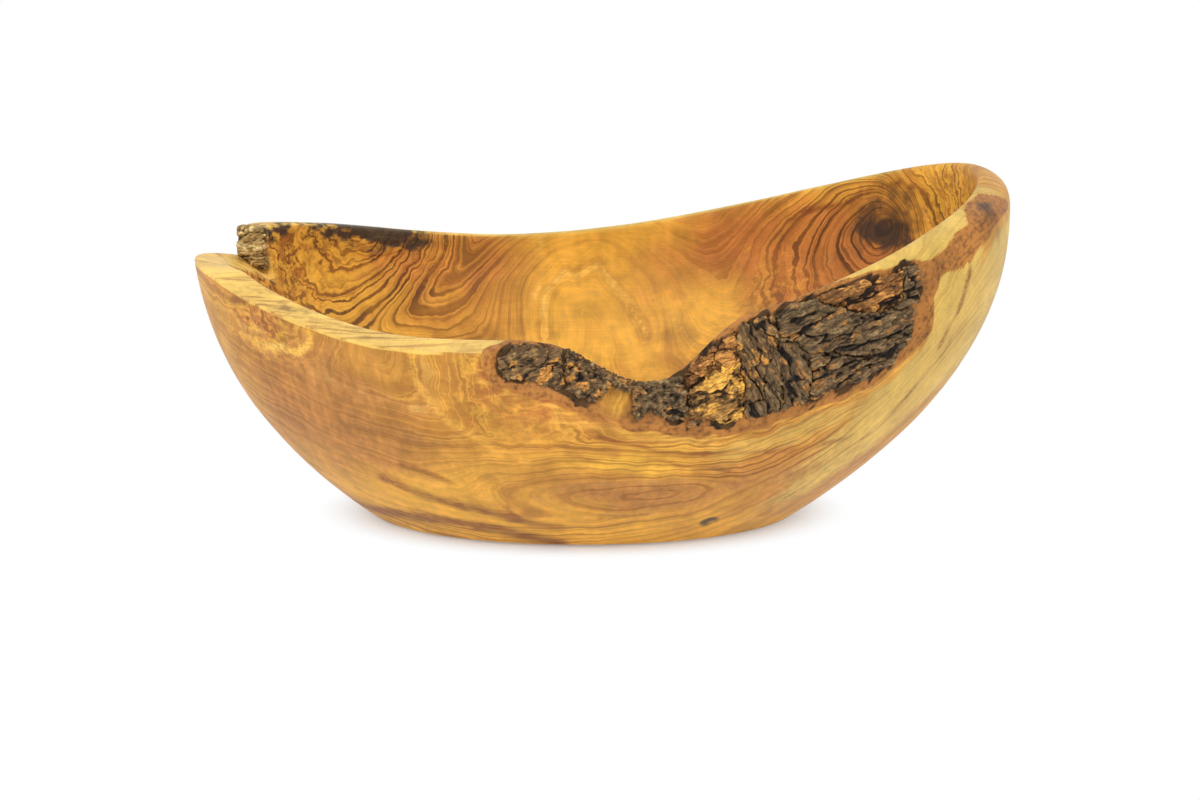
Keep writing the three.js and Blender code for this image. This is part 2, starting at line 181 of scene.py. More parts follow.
@dataclass(frozen=True)
class CarvedForm:
    """The carved outside, the hollow, and the brim that the log's round top gives them."""

    right: WallReach = WallReach(77, 153, 112, 2.1, 2.2)
    left: WallReach = WallReach(77, 140.5, 126, 2.6, 2.9)
    side: WallReach = WallReach(44, 94, 90, 2.1, 2.3)
    squareness: float = 2.06
    wall: float = 12
    floor: float = 14
    foot_edge_round: float = 2.5
    foot_edge_rise: float = 1.5
    log_radius: float = 132
    log_crest: float = 115
    log_rise_x: float = 0.094
    log_rise_y: float = 0.038
    fall_right: float = 2.5
    fall_left: float = 1
    fall_from: float = 0.2
    fall_full: float = 0.75
    brim_round: float = 2.4
    end_round: float = 6.5
    end_fall: float = 4.5
    end_fade: float = 4
    end_bevel: float = 0.4
    end_crown: float = 1.8
    waves: tuple[BrimWave, ...] = (
        BrimWave(-79.5, -16, 15.5, 12.3),
        BrimWave(-100, 3.6, 26, 14),
        BrimWave(100, -1.5, 45, 40),
    )
    ledge_depth: float = 10.5
    ledge: BrimStretch = BrimStretch(-103.5, -100.5, -84, -74)
    face_depth: float = 36
    face: BrimStretch = BrimStretch(-84, -67, -48, -18)
    lip_least: float = 2.2
    lip_most: float = 0.98
    lip: BrimStretch = BrimStretch(-104, -99, -62, -16)
    notch_depth: float = 21.5
    notch_tilt: float = 9.5
    notch_ramp: float = 204
    notch_ease: float = 1.15
    notch_floor: float = 158.8
    notch_step: float = 157
    step_round: float = 1.8
    step_run: float = 2.2

    def reaches(self) -> tuple[WallReach, WallReach, WallReach]:
        """Gives the wall's reach to the left, to the right and to the sides."""
        return self.left, self.right, self.side

    def oval(self, angle: Array, reaches: Sequence[Array], z: Array) -> Array:
        """Places points on an oval.

        Args:
            angle: Angle round the bowl, in degrees.
            reaches: How far the oval reaches to the left, to the right and to the sides.
            z: Height.

        Returns:
            The points, with x, y and z last.
        """
        left, right, side = reaches
        across, along = np.sin(np.radians(angle)), np.cos(np.radians(angle))
        power = 2 / self.squareness
        x = np.sign(along) * np.where(along > 0, right, left) * np.abs(along) ** power
        y = np.sign(across) * side * np.abs(across) ** power
        return np.stack(np.broadcast_arrays(x, y, z), axis=-1)

    def outside(self, angle: Array, z: Array) -> Array:
        """Gives points of the carved outside at angles and heights."""
        return self.oval(angle, [reach.outside(z) for reach in self.reaches()], z)

    def hollow(self, angle: Array, z: Array) -> Array:
        """Gives points of the hollow at angles and heights."""
        return self.oval(angle, [reach.hollow(z, self.floor, self.wall) for reach in self.reaches()], z)

    def pith(self, points: Array) -> Array:
        """Gives the height of the log's middle under each point."""
        rise = self.log_rise_x * points[..., 0] + self.log_rise_y * points[..., 1]
        return self.log_crest - self.log_radius + rise

    def log_distance(self, points: Array) -> Array:
        """Gives each point's distance from the log's middle."""
        return np.hypot(points[..., 1], points[..., 2] - self.pith(points))

    def brim_height(self, angle: Array) -> Array:
        """Gives the brim's height at each angle, where the hollow meets the log's round top.

        Args:
            angle: Angle round the bowl, in degrees.

        Returns:
            The height.
        """
        z = np.full_like(angle, self.log_crest)
        for _ in range(12):
            at = self.hollow(angle, z)
            z = self.pith(at) + np.sqrt(self.log_radius ** 2 - at[..., 1] ** 2)
        for wave in self.waves:
            off = (angle - wave.angle + 180) % 360 - 180
            share = np.abs(off) / np.where(off < 0, wave.left, wave.right)
            z = z + np.where(share < 1, wave.rise * np.cos(np.minimum(share, 1) * np.pi / 2) ** 2, 0)
        turn = angle % 360
        near = np.where(turn < self.notch_floor, np.clip(self.notch_step - turn, 0, None), 180)
        worn = self.step_round * np.exp(-near / self.step_run)
        return z - self.notch_depth * self.notch_share(angle) - worn

    def notch_share(self, angle: Array) -> Array:
        """Gives how much of the left notch there is: a long ramp at the front, a steep step at the back.

        Args:
            angle: Angle round the bowl, in degrees.

        Returns:
            The share of the notch's full depth.
        """
        turn = angle % 360
        slope = np.clip((self.notch_ramp - turn) / (self.notch_ramp - self.notch_floor), 0, 1)
        step = np.clip((turn - self.notch_step) / (self.notch_floor - self.notch_step), 0, 1)
        return slope ** self.notch_ease * step

    def end_share(self, angle: Array) -> Array:
        """Gives 1 at the high end, fading away from it."""
        return np.maximum(0, np.cos(np.radians(angle))) ** self.end_fade

    def brim_fall(self, angle: Array) -> Array:
        """Gives how far the sawn brim falls from its inner edge to the outside.

        Args:
            angle: Angle round the bowl, in degrees.

        Returns:
            The fall.
        """
        leftward = ramp(-np.cos(np.radians(angle)), self.fall_from, self.fall_full)
        level = self.fall_right + (self.fall_left - self.fall_right) * leftward
        return level + self.end_fall * self.end_share(angle) - self.notch_tilt * self.notch_share(angle)

    def brim_corners(self, angle: Array) -> tuple[Array, Array, Array]:
        """Gives the brim's three corners.

        Args:
            angle: Angle round the bowl, in degrees.

        Returns:
            The outer corner, the corner between the natural face and the lip, and the inner corner.
        """
        top = self.brim_height(angle)
        rim = top - self.brim_fall(angle)
        face = self.ledge_depth * self.ledge.share(angle) + self.face_depth * self.face.share(angle)
        width = (self.wall + (self.lip_least - self.wall) * self.lip.share(angle)) / self.wall * self.lip_most
        width = width * (1 - self.end_bevel * self.end_share(angle))
        inner = self.hollow(angle, top)
        lip = inner + (self.outside(angle, rim) - inner) * width[..., None]
        lip[..., 2] += self.end_crown * self.end_share(angle)
        return self.outside(angle, rim - face), lip, inner

    def edge_round(self, angle: Array) -> Array:
        """Gives the rounding of the brim's edges, which is larger at the high end."""
        return self.brim_round + (self.end_round - self.brim_round) * self.end_share(angle)


@dataclass(frozen=True)
class GrowthCentre:
    """A branch, burl or swelling that the growth rings close around.

    early is how far its rings run ahead of the log's own, crowding how much closer they lie, stretch their
    shape along x, y and z, and drift the way in which they widen.
    """

    at: Point
    early: float
    crowding: float = 1
    stretch: Point = (1, 1, 1)
    drift: Point = (0, 0, 0)


@dataclass(frozen=True)
class Stain:
    """A soft-edged patch of the wood, by its middle, its spread along x, y and z, and its strength."""

    at: Point
    spread: Point
    strength: float

    def share(self, points: Array) -> Array:
        """Gives how strongly the patch shows at each point."""
        off = (points - np.array(self.at)) / np.array(self.spread)
        return self.strength * np.exp(-0.5 * (off ** 2).sum(axis=1))


@dataclass(frozen=True)
class Vein:
    """A single streak in the wood along a path, by its half width and its strength."""

    path: tuple[Point, ...]
    width: float
    strength: float

    def distance(self, points: Array) -> Array:
        """Gives how far each point lies from the path.

        Args:
            points: Places, one a row.

        Returns:
            The distances.
        """
        nearest = np.full(len(points), np.inf)
        for start, end in itertools.pairwise(np.array(self.path, dtype=float)):
            run = end - start
            along = np.clip((points - start) @ run / (run @ run), 0, 1)
            nearest = np.minimum(nearest, np.linalg.norm(points - start - along[:, None] * run, axis=1))
        return nearest

    def share(self, points: Array) -> Array:
        """Gives how strongly the streak shows at each point."""
        return self.strength * np.exp(-(self.distance(points) / self.width) ** 2)


class Share(Enum):
    """What the mesh tells the wood's material at each point."""

    RING = "ring"
    DARK_LINES = "dark_lines"
    PALE_LINES = "pale_lines"
    DARK_VEIN = "dark_vein"
    PALE_VEIN = "pale_vein"
    # The gold share also carries painted light that lightens the lower front and underside.
    GOLD = "gold"
    WARM = "warm"
    ROSY = "rosy"
    SAP = "sap"
    RIM = "rim"
    INNER_BARK = "inner_bark"
    CORE = "core"
    SCAR = "scar"
    WILD = "wild"


@dataclass(frozen=True)
class SkinPlaces:
    """Where each point of the shell lies.

    angle is round the bowl in degrees, drop how far under the brim's outer corner, inset how far from its
    inner corner, near how far from the bark, and brim and face are 1 on the brim and on its natural face.
    """

    angle: Array
    drop: Array
    inset: Array
    near: Array
    brim: Array
    face: Array


@dataclass(frozen=True)
class OliveFigure:
    """How the log grew: its rings, and where its colours lie, with painted light on the lower front and
    underside.
    """

    form: CarvedForm
    centres: tuple[GrowthCentre, ...] = (
        GrowthCentre((117, 46, 98), 72, 2.5, drift=(-0.5, 0.2, -0.38)),
        GrowthCentre((-82, 64, 97), 92, 1.45, (1.1, 1, 1), (-0.62, 0, -0.2)),
        GrowthCentre((26, -71, 26), 34, 1.7, (3.1, 1, 1)),
        GrowthCentre((-10, -92, 80), 60, 0.85, (0.8, 1, 1)),
        GrowthCentre((-98, -66, 88), 34, 1.1, (1, 1, 0.9)),
    )
    arch: Vein = Vein((
        (-15, 50, 30), (-15, 68, 45), (-15, 77, 61), (-12, 79, 66), (-8, 80, 71), (-4, 80, 69), (5, 81, 74),
        (10, 80, 69), (18, 77, 61), (24, 70, 50), (28, 50, 32),
    ), 1.5, 0.75)
    arch_zone: Stain = Stain((4, 78, 60), (28, 30, 24), 1.6)
    arch_start: float = 62
    tongue: Stain = Stain((12, -92, 69), (5.5, 10, 7), 1.0)
    swells: tuple[Stain, ...] = (
        Stain((140, 2, 108), (26, 17, 70), 55),
    )
    stains: Mapping[Share, tuple[Stain, ...]] = field(default_factory=lambda: {
        Share.DARK_LINES: (
            Stain((-79, 57, 74), (36, 30, 26), 1.0),
            Stain((-116, 24, 86), (20, 26, 22), 0.9),
            Stain((98, 54, 86), (28, 24, 26), 0.92),
            Stain((135, 22, 112), (12, 16, 14), 0.8),
            Stain((-45, -50, 6), (40, 30, 7), 0.5),
            Stain((30, -62, 9), (60, 26, 5), 0.2),
            Stain((26, -72, 26), (36, 14, 9), 0.3),
            Stain((75, -68, 42), (34, 22, 10), 0.6),
            Stain((20, -82, 50), (60, 16, 9), 0.4),
            Stain((-86, -62, 62), (26, 26, 22), 0.15),
            Stain((-14, -92, 76), (24, 14, 15), 0.25),
            Stain((-108, -56, 87), (14, 16, 8), 0.8),
            Stain((95, -66, 60), (40, 20, 12), 0.35),
        ),
        Share.PALE_LINES: (
            Stain((-22, 78, 62), (8, 20, 22), 0.8),
            Stain((30, 76, 62), (10, 20, 20), 0.7),
            Stain((46, 72, 64), (16, 20, 20), 0.2),
            Stain((110, -52, 62), (30, 26, 30), 0.6),
            Stain((30, -70, 38), (50, 20, 12), 0.35),
        ),
        Share.GOLD: (
            Stain((-1, 80, 50), (19, 24, 25), 1.0),
            Stain((25, 79, 92), (34, 20, 9), 0.55),
            Stain((46, 71, 58), (14, 20, 14), 0.85),
            Stain((14, -78, 43), (16, 15, 4), 0.9),
            Stain((13, -92, 69), (3.5, 8, 5), 0.45),
            Stain((40, -80, 51), (44, 15, 3.5), 0.4),
            Stain((-44, -86, 66), (9, 12, 9), 0.35),
            Stain((-84, 58, 68), (36, 26, 22), 0.65),
            Stain((-112, 30, 84), (20, 26, 20), 0.5),
            Stain((-102, -62, 84), (12, 12, 9), 0.7),
            # Painted light: lightens the lower front wall down to the foot, as light thrown up from the white
            # table would.
            Stain((10, -45, 4), (90, 40, 9), 0.9),
            Stain((-60, -55, 24), (34, 26, 18), 0.7),
            Stain((134, 24, 110), (11, 16, 16), 1.0),
            Stain((98, 60, 113), (26, 14, 8), 1.0),
            Stain((-10, 82, 92), (30, 16, 8), 0.6),
        ),
        Share.WARM: (
            Stain((-66, 66, 78), (18, 20, 12), 0.6),
            Stain((100, 54, 86), (27, 22, 22), 0.85),
            Stain((58, 75, 84), (14, 12, 12), 1.0),
            Stain((-108, -57, 88), (13, 14, 8), 0.7),
            Stain((-14, -93, 74), (22, 12, 14), 0.6),
            Stain((62, -70, 41), (14, 10, 8), 0.45),
            Stain((60, -80, 62), (40, 14, 6), 0.4),
            Stain((-24, 78, 74), (7, 14, 18), 0.35),
            Stain((12, -92, 69), (5.5, 9, 7), 0.8),
            Stain((30, 77, 74), (9, 14, 16), 0.4),
            Stain((1, 66, 45), (4, 12, 8), 0.4),
            Stain((-40, 76, 80), (8, 14, 22), 0.5),
        ),
        Share.ROSY: (
            Stain((-88, -62, 60), (26, 30, 24), 1.0),
            Stain((-55, -72, 45), (24, 24, 18), 0.3),
            Stain((20, -72, 28), (24, 12, 7), 0.8),
            Stain((88, -50, 30), (30, 20, 14), 0.85),
        ),
        Share.CORE: (
            Stain((117, 46, 98), (8.5, 9, 8), 0.85),
            Stain((112, 48, 95), (13, 13, 11), 0.33),
            Stain((-82, 64, 95), (14, 10, 6), 1.3),
            Stain((44, -49, 10), (8, 4, 0.5), 0.85),
            Stain((-70, 68, 90), (8, 8, 4), 0.6),
            Stain((-108, 44, 97), (9, 9, 2.5), 0.5),
            Stain((-116, 34, 97), (6, 8, 3), 0.5),
            Stain((142, -32, 116), (3.2, 3.8, 4), 0.9),
            Stain((-126, -10, 96), (5, 6, 3), 0.4),
            Stain((-93, -58, 90), (8, 6, 3), 0.25),
            Stain((-68, -72, 85), (7, 5, 3), 0.25),
        ),
    })
    veins: Mapping[Share, tuple[Vein, ...]] = field(default_factory=lambda: {
        Share.DARK_VEIN: (
            Vein(((-11, -83, 48), (1, -82, 44), (13, -81, 43), (26, -80, 44), (50, -71, 36)), 1.1, 0.7),
            Vein(((6, -86, 54), (33, -81, 46), (52, -76, 44), (71, -68, 44), (92, -58, 46)), 1.5, 0.75),
            Vein(((88, -54, 36), (101, -52, 45), (112, -51, 57), (121, -49, 68), (127, -47, 77)), 1.7, 0.6),
            Vein(((72, -47, 20), (85, -50, 29), (97, -53, 40), (107, -54, 52)), 1.4, 0.5),
            Vein(((45, -73, 39), (57, -66, 32), (68, -57, 25)), 1.9, 0.5),
            Vein(((-84, -18, 9), (-64, -41, 12), (-46, -49, 11), (-29, -51, 8), (-8, -47, 3)), 4.6, 1.0),
            Vein(((-68, -58, 30), (-56, -59, 26), (-39, -60, 20), (-21, -59, 15), (-8, -57, 12)), 3.6, 0.9),
            Vein(((-62, -67, 38), (-53, -69, 36), (-44, -68, 32)), 1.8, 0.9),
            Vein(((-28, -65, 23), (-20, -59, 15), (-9, -57, 12)), 1.1, 0.6),
            Vein(((4, -91, 67), (10, -89, 62), (20, -88, 58), (29, -85, 55), (42, -83, 54)), 1.1, 0.6),
            Vein(((134, -47, 102), (132, -48, 94), (128, -50, 84), (123, -52, 76)), 1.5, 0.8),
            Vein(((-52, -87, 83), (-52, -85, 75), (-49, -85, 69), (-44, -84, 62), (-34, -83, 54)), 1.2, 0.5),
            Vein(((80, 68, 94), (89, 64, 100), (101, 59, 104), (110, 53, 110), (120, 45, 114), (127, 37, 113),
                  (131, 32, 106), (132, 29, 100)), 1.7, 0.9),
            Vein(((-107, 44, 90), (-101, 50, 87), (-95, 55, 90), (-92, 58, 93)), 1.6, 0.8),
            Vein(((-114, 38, 96), (-113, 36, 84), (-114, 31, 76)), 2.6, 0.6),
        ),
        Share.PALE_VEIN: (
            Vein(((-55, -87, 83), (-55, -85, 75), (-52, -85, 69), (-47, -84, 62), (-37, -83, 54),
                  (-28, -81, 47), (-18, -80, 43)), 2.6, 0.6),
            Vein(((-136, -4, 80), (-125, -39, 82), (-116, -50, 79), (-108, -57, 76), (-101, -64, 79),
                  (-95, -68, 77), (-92, -70, 82), (-91, -71, 87)), 2.0, 0.9),
            Vein(((-22, 66, 43), (-21, 75, 58), (-17, 78, 66), (-17, 81, 84)), 1.0, 0.8),
            Vein(((26, 80, 78), (30, 77, 67), (38, 70, 52), (42, 64, 46)), 1.0, 0.8),
            Vein(((-8, -89, 60), (6, -88, 58), (27, -84, 53), (47, -79, 49), (75, -68, 49)), 2.2, 0.65),
            Vein(((57, 75, 87), (60, 74, 86), (64, 73, 82)), 0.8, 0.9),
            Vein(((71, 72, 102), (73, 71, 97)), 0.8, 0.9),
            Vein(((46, 75, 70), (54, 74, 74), (61, 73, 77)), 0.9, 0.5),
        ),
    })
    merge: float = 2.5
    sway: tuple[tuple[float, float], ...] = ((40, 4.0), (14, 1.6), (6, 0.5))
    sway_along: float = 0.55
    wild: tuple[Stain, ...] = (
        Stain((-112, 36, 82), (16, 24, 16), 1.0),
        Stain((-106, -57, 86), (14, 16, 9), 1.0),
        Stain((78, 64, 68), (12, 14, 10), 0.6),
        Stain((-20, -90, 68), (20, 14, 14), 0.75),
        Stain((136, 20, 113), (13, 16, 14), 0.9),
        Stain((-66, 66, 79), (12, 14, 8), 0.5),
        Stain((-116, 32, 88), (12, 16, 14), 1.0),
        Stain((-86, 62, 95), (20, 14, 6), 0.9),
    )
    wild_size: float = 10
    wild_sway: float = 5
    end_lift: float = 0.65
    lift_from: float = 45
    lift_soft: float = 15
    stain_sway: tuple[tuple[float, float], ...] = ((16, 6), (6, 2.0))
    vein_sway: tuple[tuple[float, float], ...] = ((14, 1.6), (5, 0.6))
    edge_rings: float = 118
    edge_reach: float = 9
    husk_stretch: BrimStretch = BrimStretch(-97, -93, -12, -8)
    edge_stretch: BrimStretch = BrimStretch(-106, -100, -20, -15)
    tip_tongue: BrimStretch = BrimStretch(-28, -23, -17, -12)
    pale_lip: BrimStretch = BrimStretch(-58, -50, -30, -24)
    wide_border: BrimStretch = BrimStretch(-112, -106, -88, -82)
    pale_shoulder: BrimStretch = BrimStretch(-48, -42, -28, -23)
    left_patch: BrimStretch = BrimStretch(-112, -106, -92, -88)
    worn_end: BrimStretch = BrimStretch(-16, -8, 24, 40)
    sap_side: BrimStretch = BrimStretch(-60, -38, -4, 26)
    sap_under: BrimStretch = BrimStretch(-76, -66, -50, -40)
    border_fade: tuple[float, float] = (2.2, 3.8)
    border_more: float = 1.6
    scar_fade: tuple[float, float] = (0.6, 1.6)
    shoulder_fade: tuple[float, float] = (8.4, 9.6)
    shoulder_inset: tuple[float, float] = (7.5, 8.7)
    sap_fade: tuple[float, float] = (44, 76)

    def drifted(self, points: Array, sizes: Sequence[tuple[float, float]], seed: int) -> Array:
        """Moves points by random swells that are longer along the log.

        Args:
            points: Places, one a row.
            sizes: The width and the height of each size of swell.
            seed: Which swells to use.

        Returns:
            The moved places.
        """
        moved = points.copy()
        squeezed = points * np.array((self.sway_along, 1, 1))
        for axis in range(3):
            noise = SmoothNoise(seed + axis)
            for size, height in sizes:
                moved[:, axis] += height * noise.at(squeezed, size)
        return moved

    def patchwork(self, points: Array, stains: Sequence[Stain | Vein]) -> Array:
        """Lays soft patches over each other.

        Args:
            points: Places, one a row.
            stains: The patches or veins.

        Returns:
            How strongly the patches show at each place, from 0 to 1.
        """
        bare = np.ones(len(points))
        for stain in stains:
            bare *= 1 - stain.share(points)
        return 1 - bare

    def log_front(self, points: Array) -> Array:
        """Gives the log's own rings, which bend up at the front of the high end."""
        lift = self.lift_soft * np.logaddexp(0, (points[:, 0] - self.lift_from) / self.lift_soft)
        return self.form.log_distance(points) - self.end_lift * lift * ramp(-points[:, 1], -10, 30)

    def rings(self, points: Array) -> Array:
        """Gives the growth ring at each place, as its distance from the log's middle.

        Args:
            points: Places, one a row.

        Returns:
            The ring, in millimetres of growth.
        """
        swayed = self.drifted(points, self.sway, 11)
        fronts = [self.log_front(swayed)]
        for centre in self.centres:
            middle = np.array(centre.at, dtype=float)
            off = (swayed - middle) / np.array(centre.stretch)
            length = np.linalg.norm(off, axis=1) - off @ np.array(centre.drift)
            start = self.log_front(middle[None])[0] - centre.early
            fronts.append(start + centre.crowding * length)
        stacked = np.stack(fronts)
        least = stacked.min(axis=0)
        ring = least - self.merge * np.log(np.exp((least - stacked) / self.merge).sum(axis=0))
        for swell in self.swells:
            ring += swell.share(swayed)
        nested = self.arch_start + self.arch.distance(self.drifted(points, self.sway[1:], 81))
        ring += (nested - ring) * np.minimum(self.arch_zone.share(points), 1)
        noise = SmoothNoise(31)
        zigzag = np.abs(noise.at(points, self.wild_size)) + 0.5 * np.abs(noise.at(points, self.wild_size / 2))
        return ring + self.wild_sway * zigzag * self.patchwork(points, self.wild)

    def shares(self, points: Array, places: SkinPlaces) -> dict[Share, Array]:
        """Works out what the material needs at each point of the shell.

        Args:
            points: The shell's points.
            places: Where they lie on the shell.

        Returns:
            One array for each share.
        """
        blurred = self.drifted(points, self.stain_sway, 51)
        shares = {share: self.patchwork(blurred, stains) for share, stains in self.stains.items()}
        wavering = self.drifted(points, self.vein_sway, 61)
        veins = self.veins | {Share.PALE_VEIN: (*self.veins[Share.PALE_VEIN], self.arch)}
        shares |= {share: self.patchwork(wavering, those) for share, those in veins.items()}
        shares[Share.RING] = self.rings(points)
        shares[Share.WILD] = self.patchwork(points, self.wild)
        for share in (Share.ROSY, Share.WARM):
            shares[share] *= 1 - places.brim
        self.follow_brim(points, places, shares)
        return shares

    def follow_brim(self, points: Array, places: SkinPlaces, shares: dict[Share, Array]) -> None:
        """Changes the shares along the brim, where bark, inner bark and sapwood lie.

        Args:
            points: The shell's points.
            places: Where they lie on the shell.
            shares: The shares so far, which are changed.
        """
        angle, brim = places.angle, places.brim
        ragged = SmoothNoise(71).at(points, 7)
        wavy = 1.8 * SmoothNoise(72).at(points, 10) + 0.5 * ragged
        fray = SmoothNoise(73)
        frayed = 1.4 * fray.at(points, 2.6) + 3.2 * fray.at(points, 7)
        outside = places.drop > 0
        drop = np.maximum(places.drop + 2.5 * ragged * outside, 0)

        # The rings follow the brim's outer edge under the bark.
        edge = self.edge_stretch.share(angle) * np.exp(-drop / self.edge_reach) * outside
        shares[Share.RING] += (self.edge_rings + 1.3 * drop - shares[Share.RING]) * edge

        # The inner bark borders the plates and runs on to the tip, with a pale shoulder left out of it.
        cream = 9 * ramp(angle, -60, -36) - 6 * self.tip_tongue.share(angle) + 8 * ramp(angle, -14, -7)
        inset = places.inset + wavy - cream
        on_lip = brim * (1 - places.face) * self.pale_lip.share(angle)
        beyond = ramp(inset, -0.4, 0.4) * brim
        bare = self.tongue.share(points)
        off = places.near + 1.6 * wavy - self.border_more * self.wide_border.share(angle)
        close = (1 - ramp(off, *self.border_fade)) * (1 - bare) * (1 - on_lip)
        shoulder = ramp(places.near + 1.5 * wavy, *self.shoulder_fade) * self.pale_shoulder.share(angle)
        shoulder *= np.where(brim > 0, ramp(inset, *self.shoulder_inset), 1)
        husk = self.husk_stretch.share(angle) * (1 - shoulder)
        skirt = husk * np.maximum(beyond, (1 - ramp(drop, 1, 3.5)) * outside)
        shares[Share.INNER_BARK] = np.maximum(skirt * (1 - bare), close)
        for share, reach, strength in ((Share.DARK_VEIN, 3.6, 0.6), (Share.PALE_VEIN, 5.4, 0.7)):
            outline = strength * np.exp(-((off - reach) / 0.9) ** 2) * outside * (1 - bare)
            shares[share] = np.maximum(shares[share], outline)
        shares[Share.SCAR] = (1 - ramp(places.near + frayed * (1 - on_lip), *self.scar_fade)) * (1 - bare)

        # The sapwood shows on the sawn brim and down the front of the high end.
        sawn = brim * (1 - husk * beyond) * (1 - places.face * self.left_patch.share(angle))
        strength = 1 - 0.95 * self.worn_end.share(angle)
        band = self.sap_side.share(angle) * np.maximum(ramp(drop, 4, 8), shoulder)
        band = 0.95 * band * (1 - ramp(drop, *self.sap_fade))
        under = self.sap_under.share(angle) * ramp(drop, 4, 7) * (1 - ramp(drop, 11, 20))
        shares[Share.SAP] = np.maximum(np.maximum(band, 0.6 * under) * outside, sawn * strength)
        shares[Share.RIM] = sawn * ramp(-np.cos(np.radians(angle)), 0, 0.5)


def make_piece(name: str, points: Array, faces: Sequence[Sequence[int]]) -> Piece:
    """Makes an object at the origin from points in millimetres.

    Args:
        name: The object's name.
        points: Its points, one a row.
        faces: The point numbers of each face.

    Returns:
        The object, in the scene.
    """
    mesh = bpy.data.meshes.new(name)
    mesh.from_pydata((points * MM).tolist(), [], faces)
    mesh.validate()
    mesh.shade_smooth()
    piece = bpy.data.objects.new(name, mesh)
    bpy.context.scene.collection.objects.link(piece)
    return piece


def settle(piece: Piece) -> None:
    """Turns what an object's modifiers make into its own mesh, and removes them.

    Args:
        piece: The object.
    """
    graph = bpy.context.evaluated_depsgraph_get()
    shaped = piece.evaluated_get(graph)
    made = bpy.data.meshes.new_from_object(shaped, preserve_all_data_layers=True, depsgraph=graph)
    piece.modifiers.clear()
    old = piece.data
    piece.data = made
    bpy.data.meshes.remove(old)
    made.name = piece.name


def store_shares(piece: Piece, shares: Mapping[Share, Array]) -> None:
    """Stores what the wood's material needs on an object's points.

    Args:
        piece: The object.
        shares: The values of each share at its points.
    """
    for share, values in shares.items():
        attribute = piece.data.attributes.new(share.value, "FLOAT", "POINT")
        attribute.data.foreach_set("value", values.astype(np.float32))


@dataclass(frozen=True)
class NodeUse:
    """A kind of node with its settings, the inputs that get values and the output that is read."""

    kind: str
    settings: Mapping[str, str]
    inputs: tuple[int | str, ...] = (0, 1)
    output: int | str = 0


class Do(Enum):
    """What a node does with values, vectors (the second group) or colours (the last)."""

    ADD = NodeUse("ShaderNodeMath", {"operation": "ADD"})
    SUBTRACT = NodeUse("ShaderNodeMath", {"operation": "SUBTRACT"})
    MULTIPLY = NodeUse("ShaderNodeMath", {"operation": "MULTIPLY"})
    DIVIDE = NodeUse("ShaderNodeMath", {"operation": "DIVIDE"})
    MAXIMUM = NodeUse("ShaderNodeMath", {"operation": "MAXIMUM"})
    ABSOLUTE = NodeUse("ShaderNodeMath", {"operation": "ABSOLUTE"}, (0,))
    SPREAD = NodeUse("ShaderNodeMapRange", {"interpolation_type": "SMOOTHSTEP"}, (0, 1, 2, 3, 4))

    SHIFT = NodeUse("ShaderNodeVectorMath", {"operation": "ADD"})
    SHIFT_BACK = NodeUse("ShaderNodeVectorMath", {"operation": "SUBTRACT"})
    STRETCH = NodeUse("ShaderNodeVectorMath", {"operation": "MULTIPLY"})
    SHRINK = NodeUse("ShaderNodeVectorMath", {"operation": "DIVIDE"})
    SCALE = NodeUse("ShaderNodeVectorMath", {"operation": "SCALE"}, (0, "Scale"))
    LENGTH = NodeUse("ShaderNodeVectorMath", {"operation": "LENGTH"}, (0,), "Value")

    MIX = NodeUse("ShaderNodeMix", {"data_type": "RGBA"}, (0, 6, 7), 2)
    TINT = NodeUse("ShaderNodeMix", {"data_type": "RGBA", "blend_type": "MULTIPLY"}, (0, 6, 7), 2)


class NodeWork:
    """A node tree under construction."""

    def __init__(self, tree: bpy.types.NodeTree) -> None:
        """Takes a tree and empties it."""
        self.tree = tree
        tree.nodes.clear()

    def add(self, kind: str, sockets: Mapping[Any, Any] | None = None, **settings: Any) -> bpy.types.Node:
        """Adds a node, sets it up and links it.

        Args:
            kind: The node's type.
            sockets: A value or another node's output for each input, by name or number.
            settings: The node's own properties.

        Returns:
            The new node.
        """
        node = self.tree.nodes.new(kind)
        for name, value in settings.items():
            setattr(node, name, value)
        for key, value in (sockets or {}).items():
            if isinstance(value, Socket):
                self.tree.links.new(value, node.inputs[key])
            else:
                node.inputs[key].default_value = value
        return node

    def join(self, do: Do, *values: Any) -> Socket:
        """Adds a node that does something with values, and gives its result."""
        use = do.value
        return self.add(use.kind, dict(zip(use.inputs, values)), **use.settings).outputs[use.output]


def label(size: str) -> str:
    """Turns the name of a size into the name of a tree's input."""
    return size.replace("_", " ").title()


class Shaper(NodeWork):
    """A geometry node tree with named inputs, which is run on a mesh and applied."""

    def __init__(self, name: str, inputs: Mapping[str, str]) -> None:
        """Starts a tree.

        Args:
            name: The tree's name.
            inputs: The socket type of each named input.
        """
        super().__init__(bpy.data.node_groups.new(name, "GeometryNodeTree"))
        for way in ("INPUT", "OUTPUT"):
            self.tree.interface.new_socket("Geometry", in_out=way, socket_type="NodeSocketGeometry")
        for named, kind in inputs.items():
            self.tree.interface.new_socket(named, in_out="INPUT", socket_type=kind)
        self.inputs = self.add("NodeGroupInput").outputs

    def close(self, geometry: Socket) -> None:
        """Ends the tree with real geometry in the material that it is given.

        Args:
            geometry: What the tree made.
        """
        real = self.add("GeometryNodeRealizeInstances", {0: geometry})
        sockets = {"Geometry": real.outputs[0], "Material": self.inputs["Material"]}
        dressed = self.add("GeometryNodeSetMaterial", sockets)
        self.add("NodeGroupOutput", {0: dressed.outputs[0]})

    def run(self, piece: Piece, values: Mapping[str, Any]) -> None:
        """Shapes an object.

        Args:
            piece: The object, whose mesh is replaced.
            values: The value of each named input.
        """
        modifier = piece.modifiers.new(self.tree.name, "NODES")
        modifier.node_group = self.tree
        for item in self.tree.interface.items_tree:
            if item.in_out == "INPUT" and item.name in values:
                modifier[item.identifier] = values[item.name]
        settle(piece)


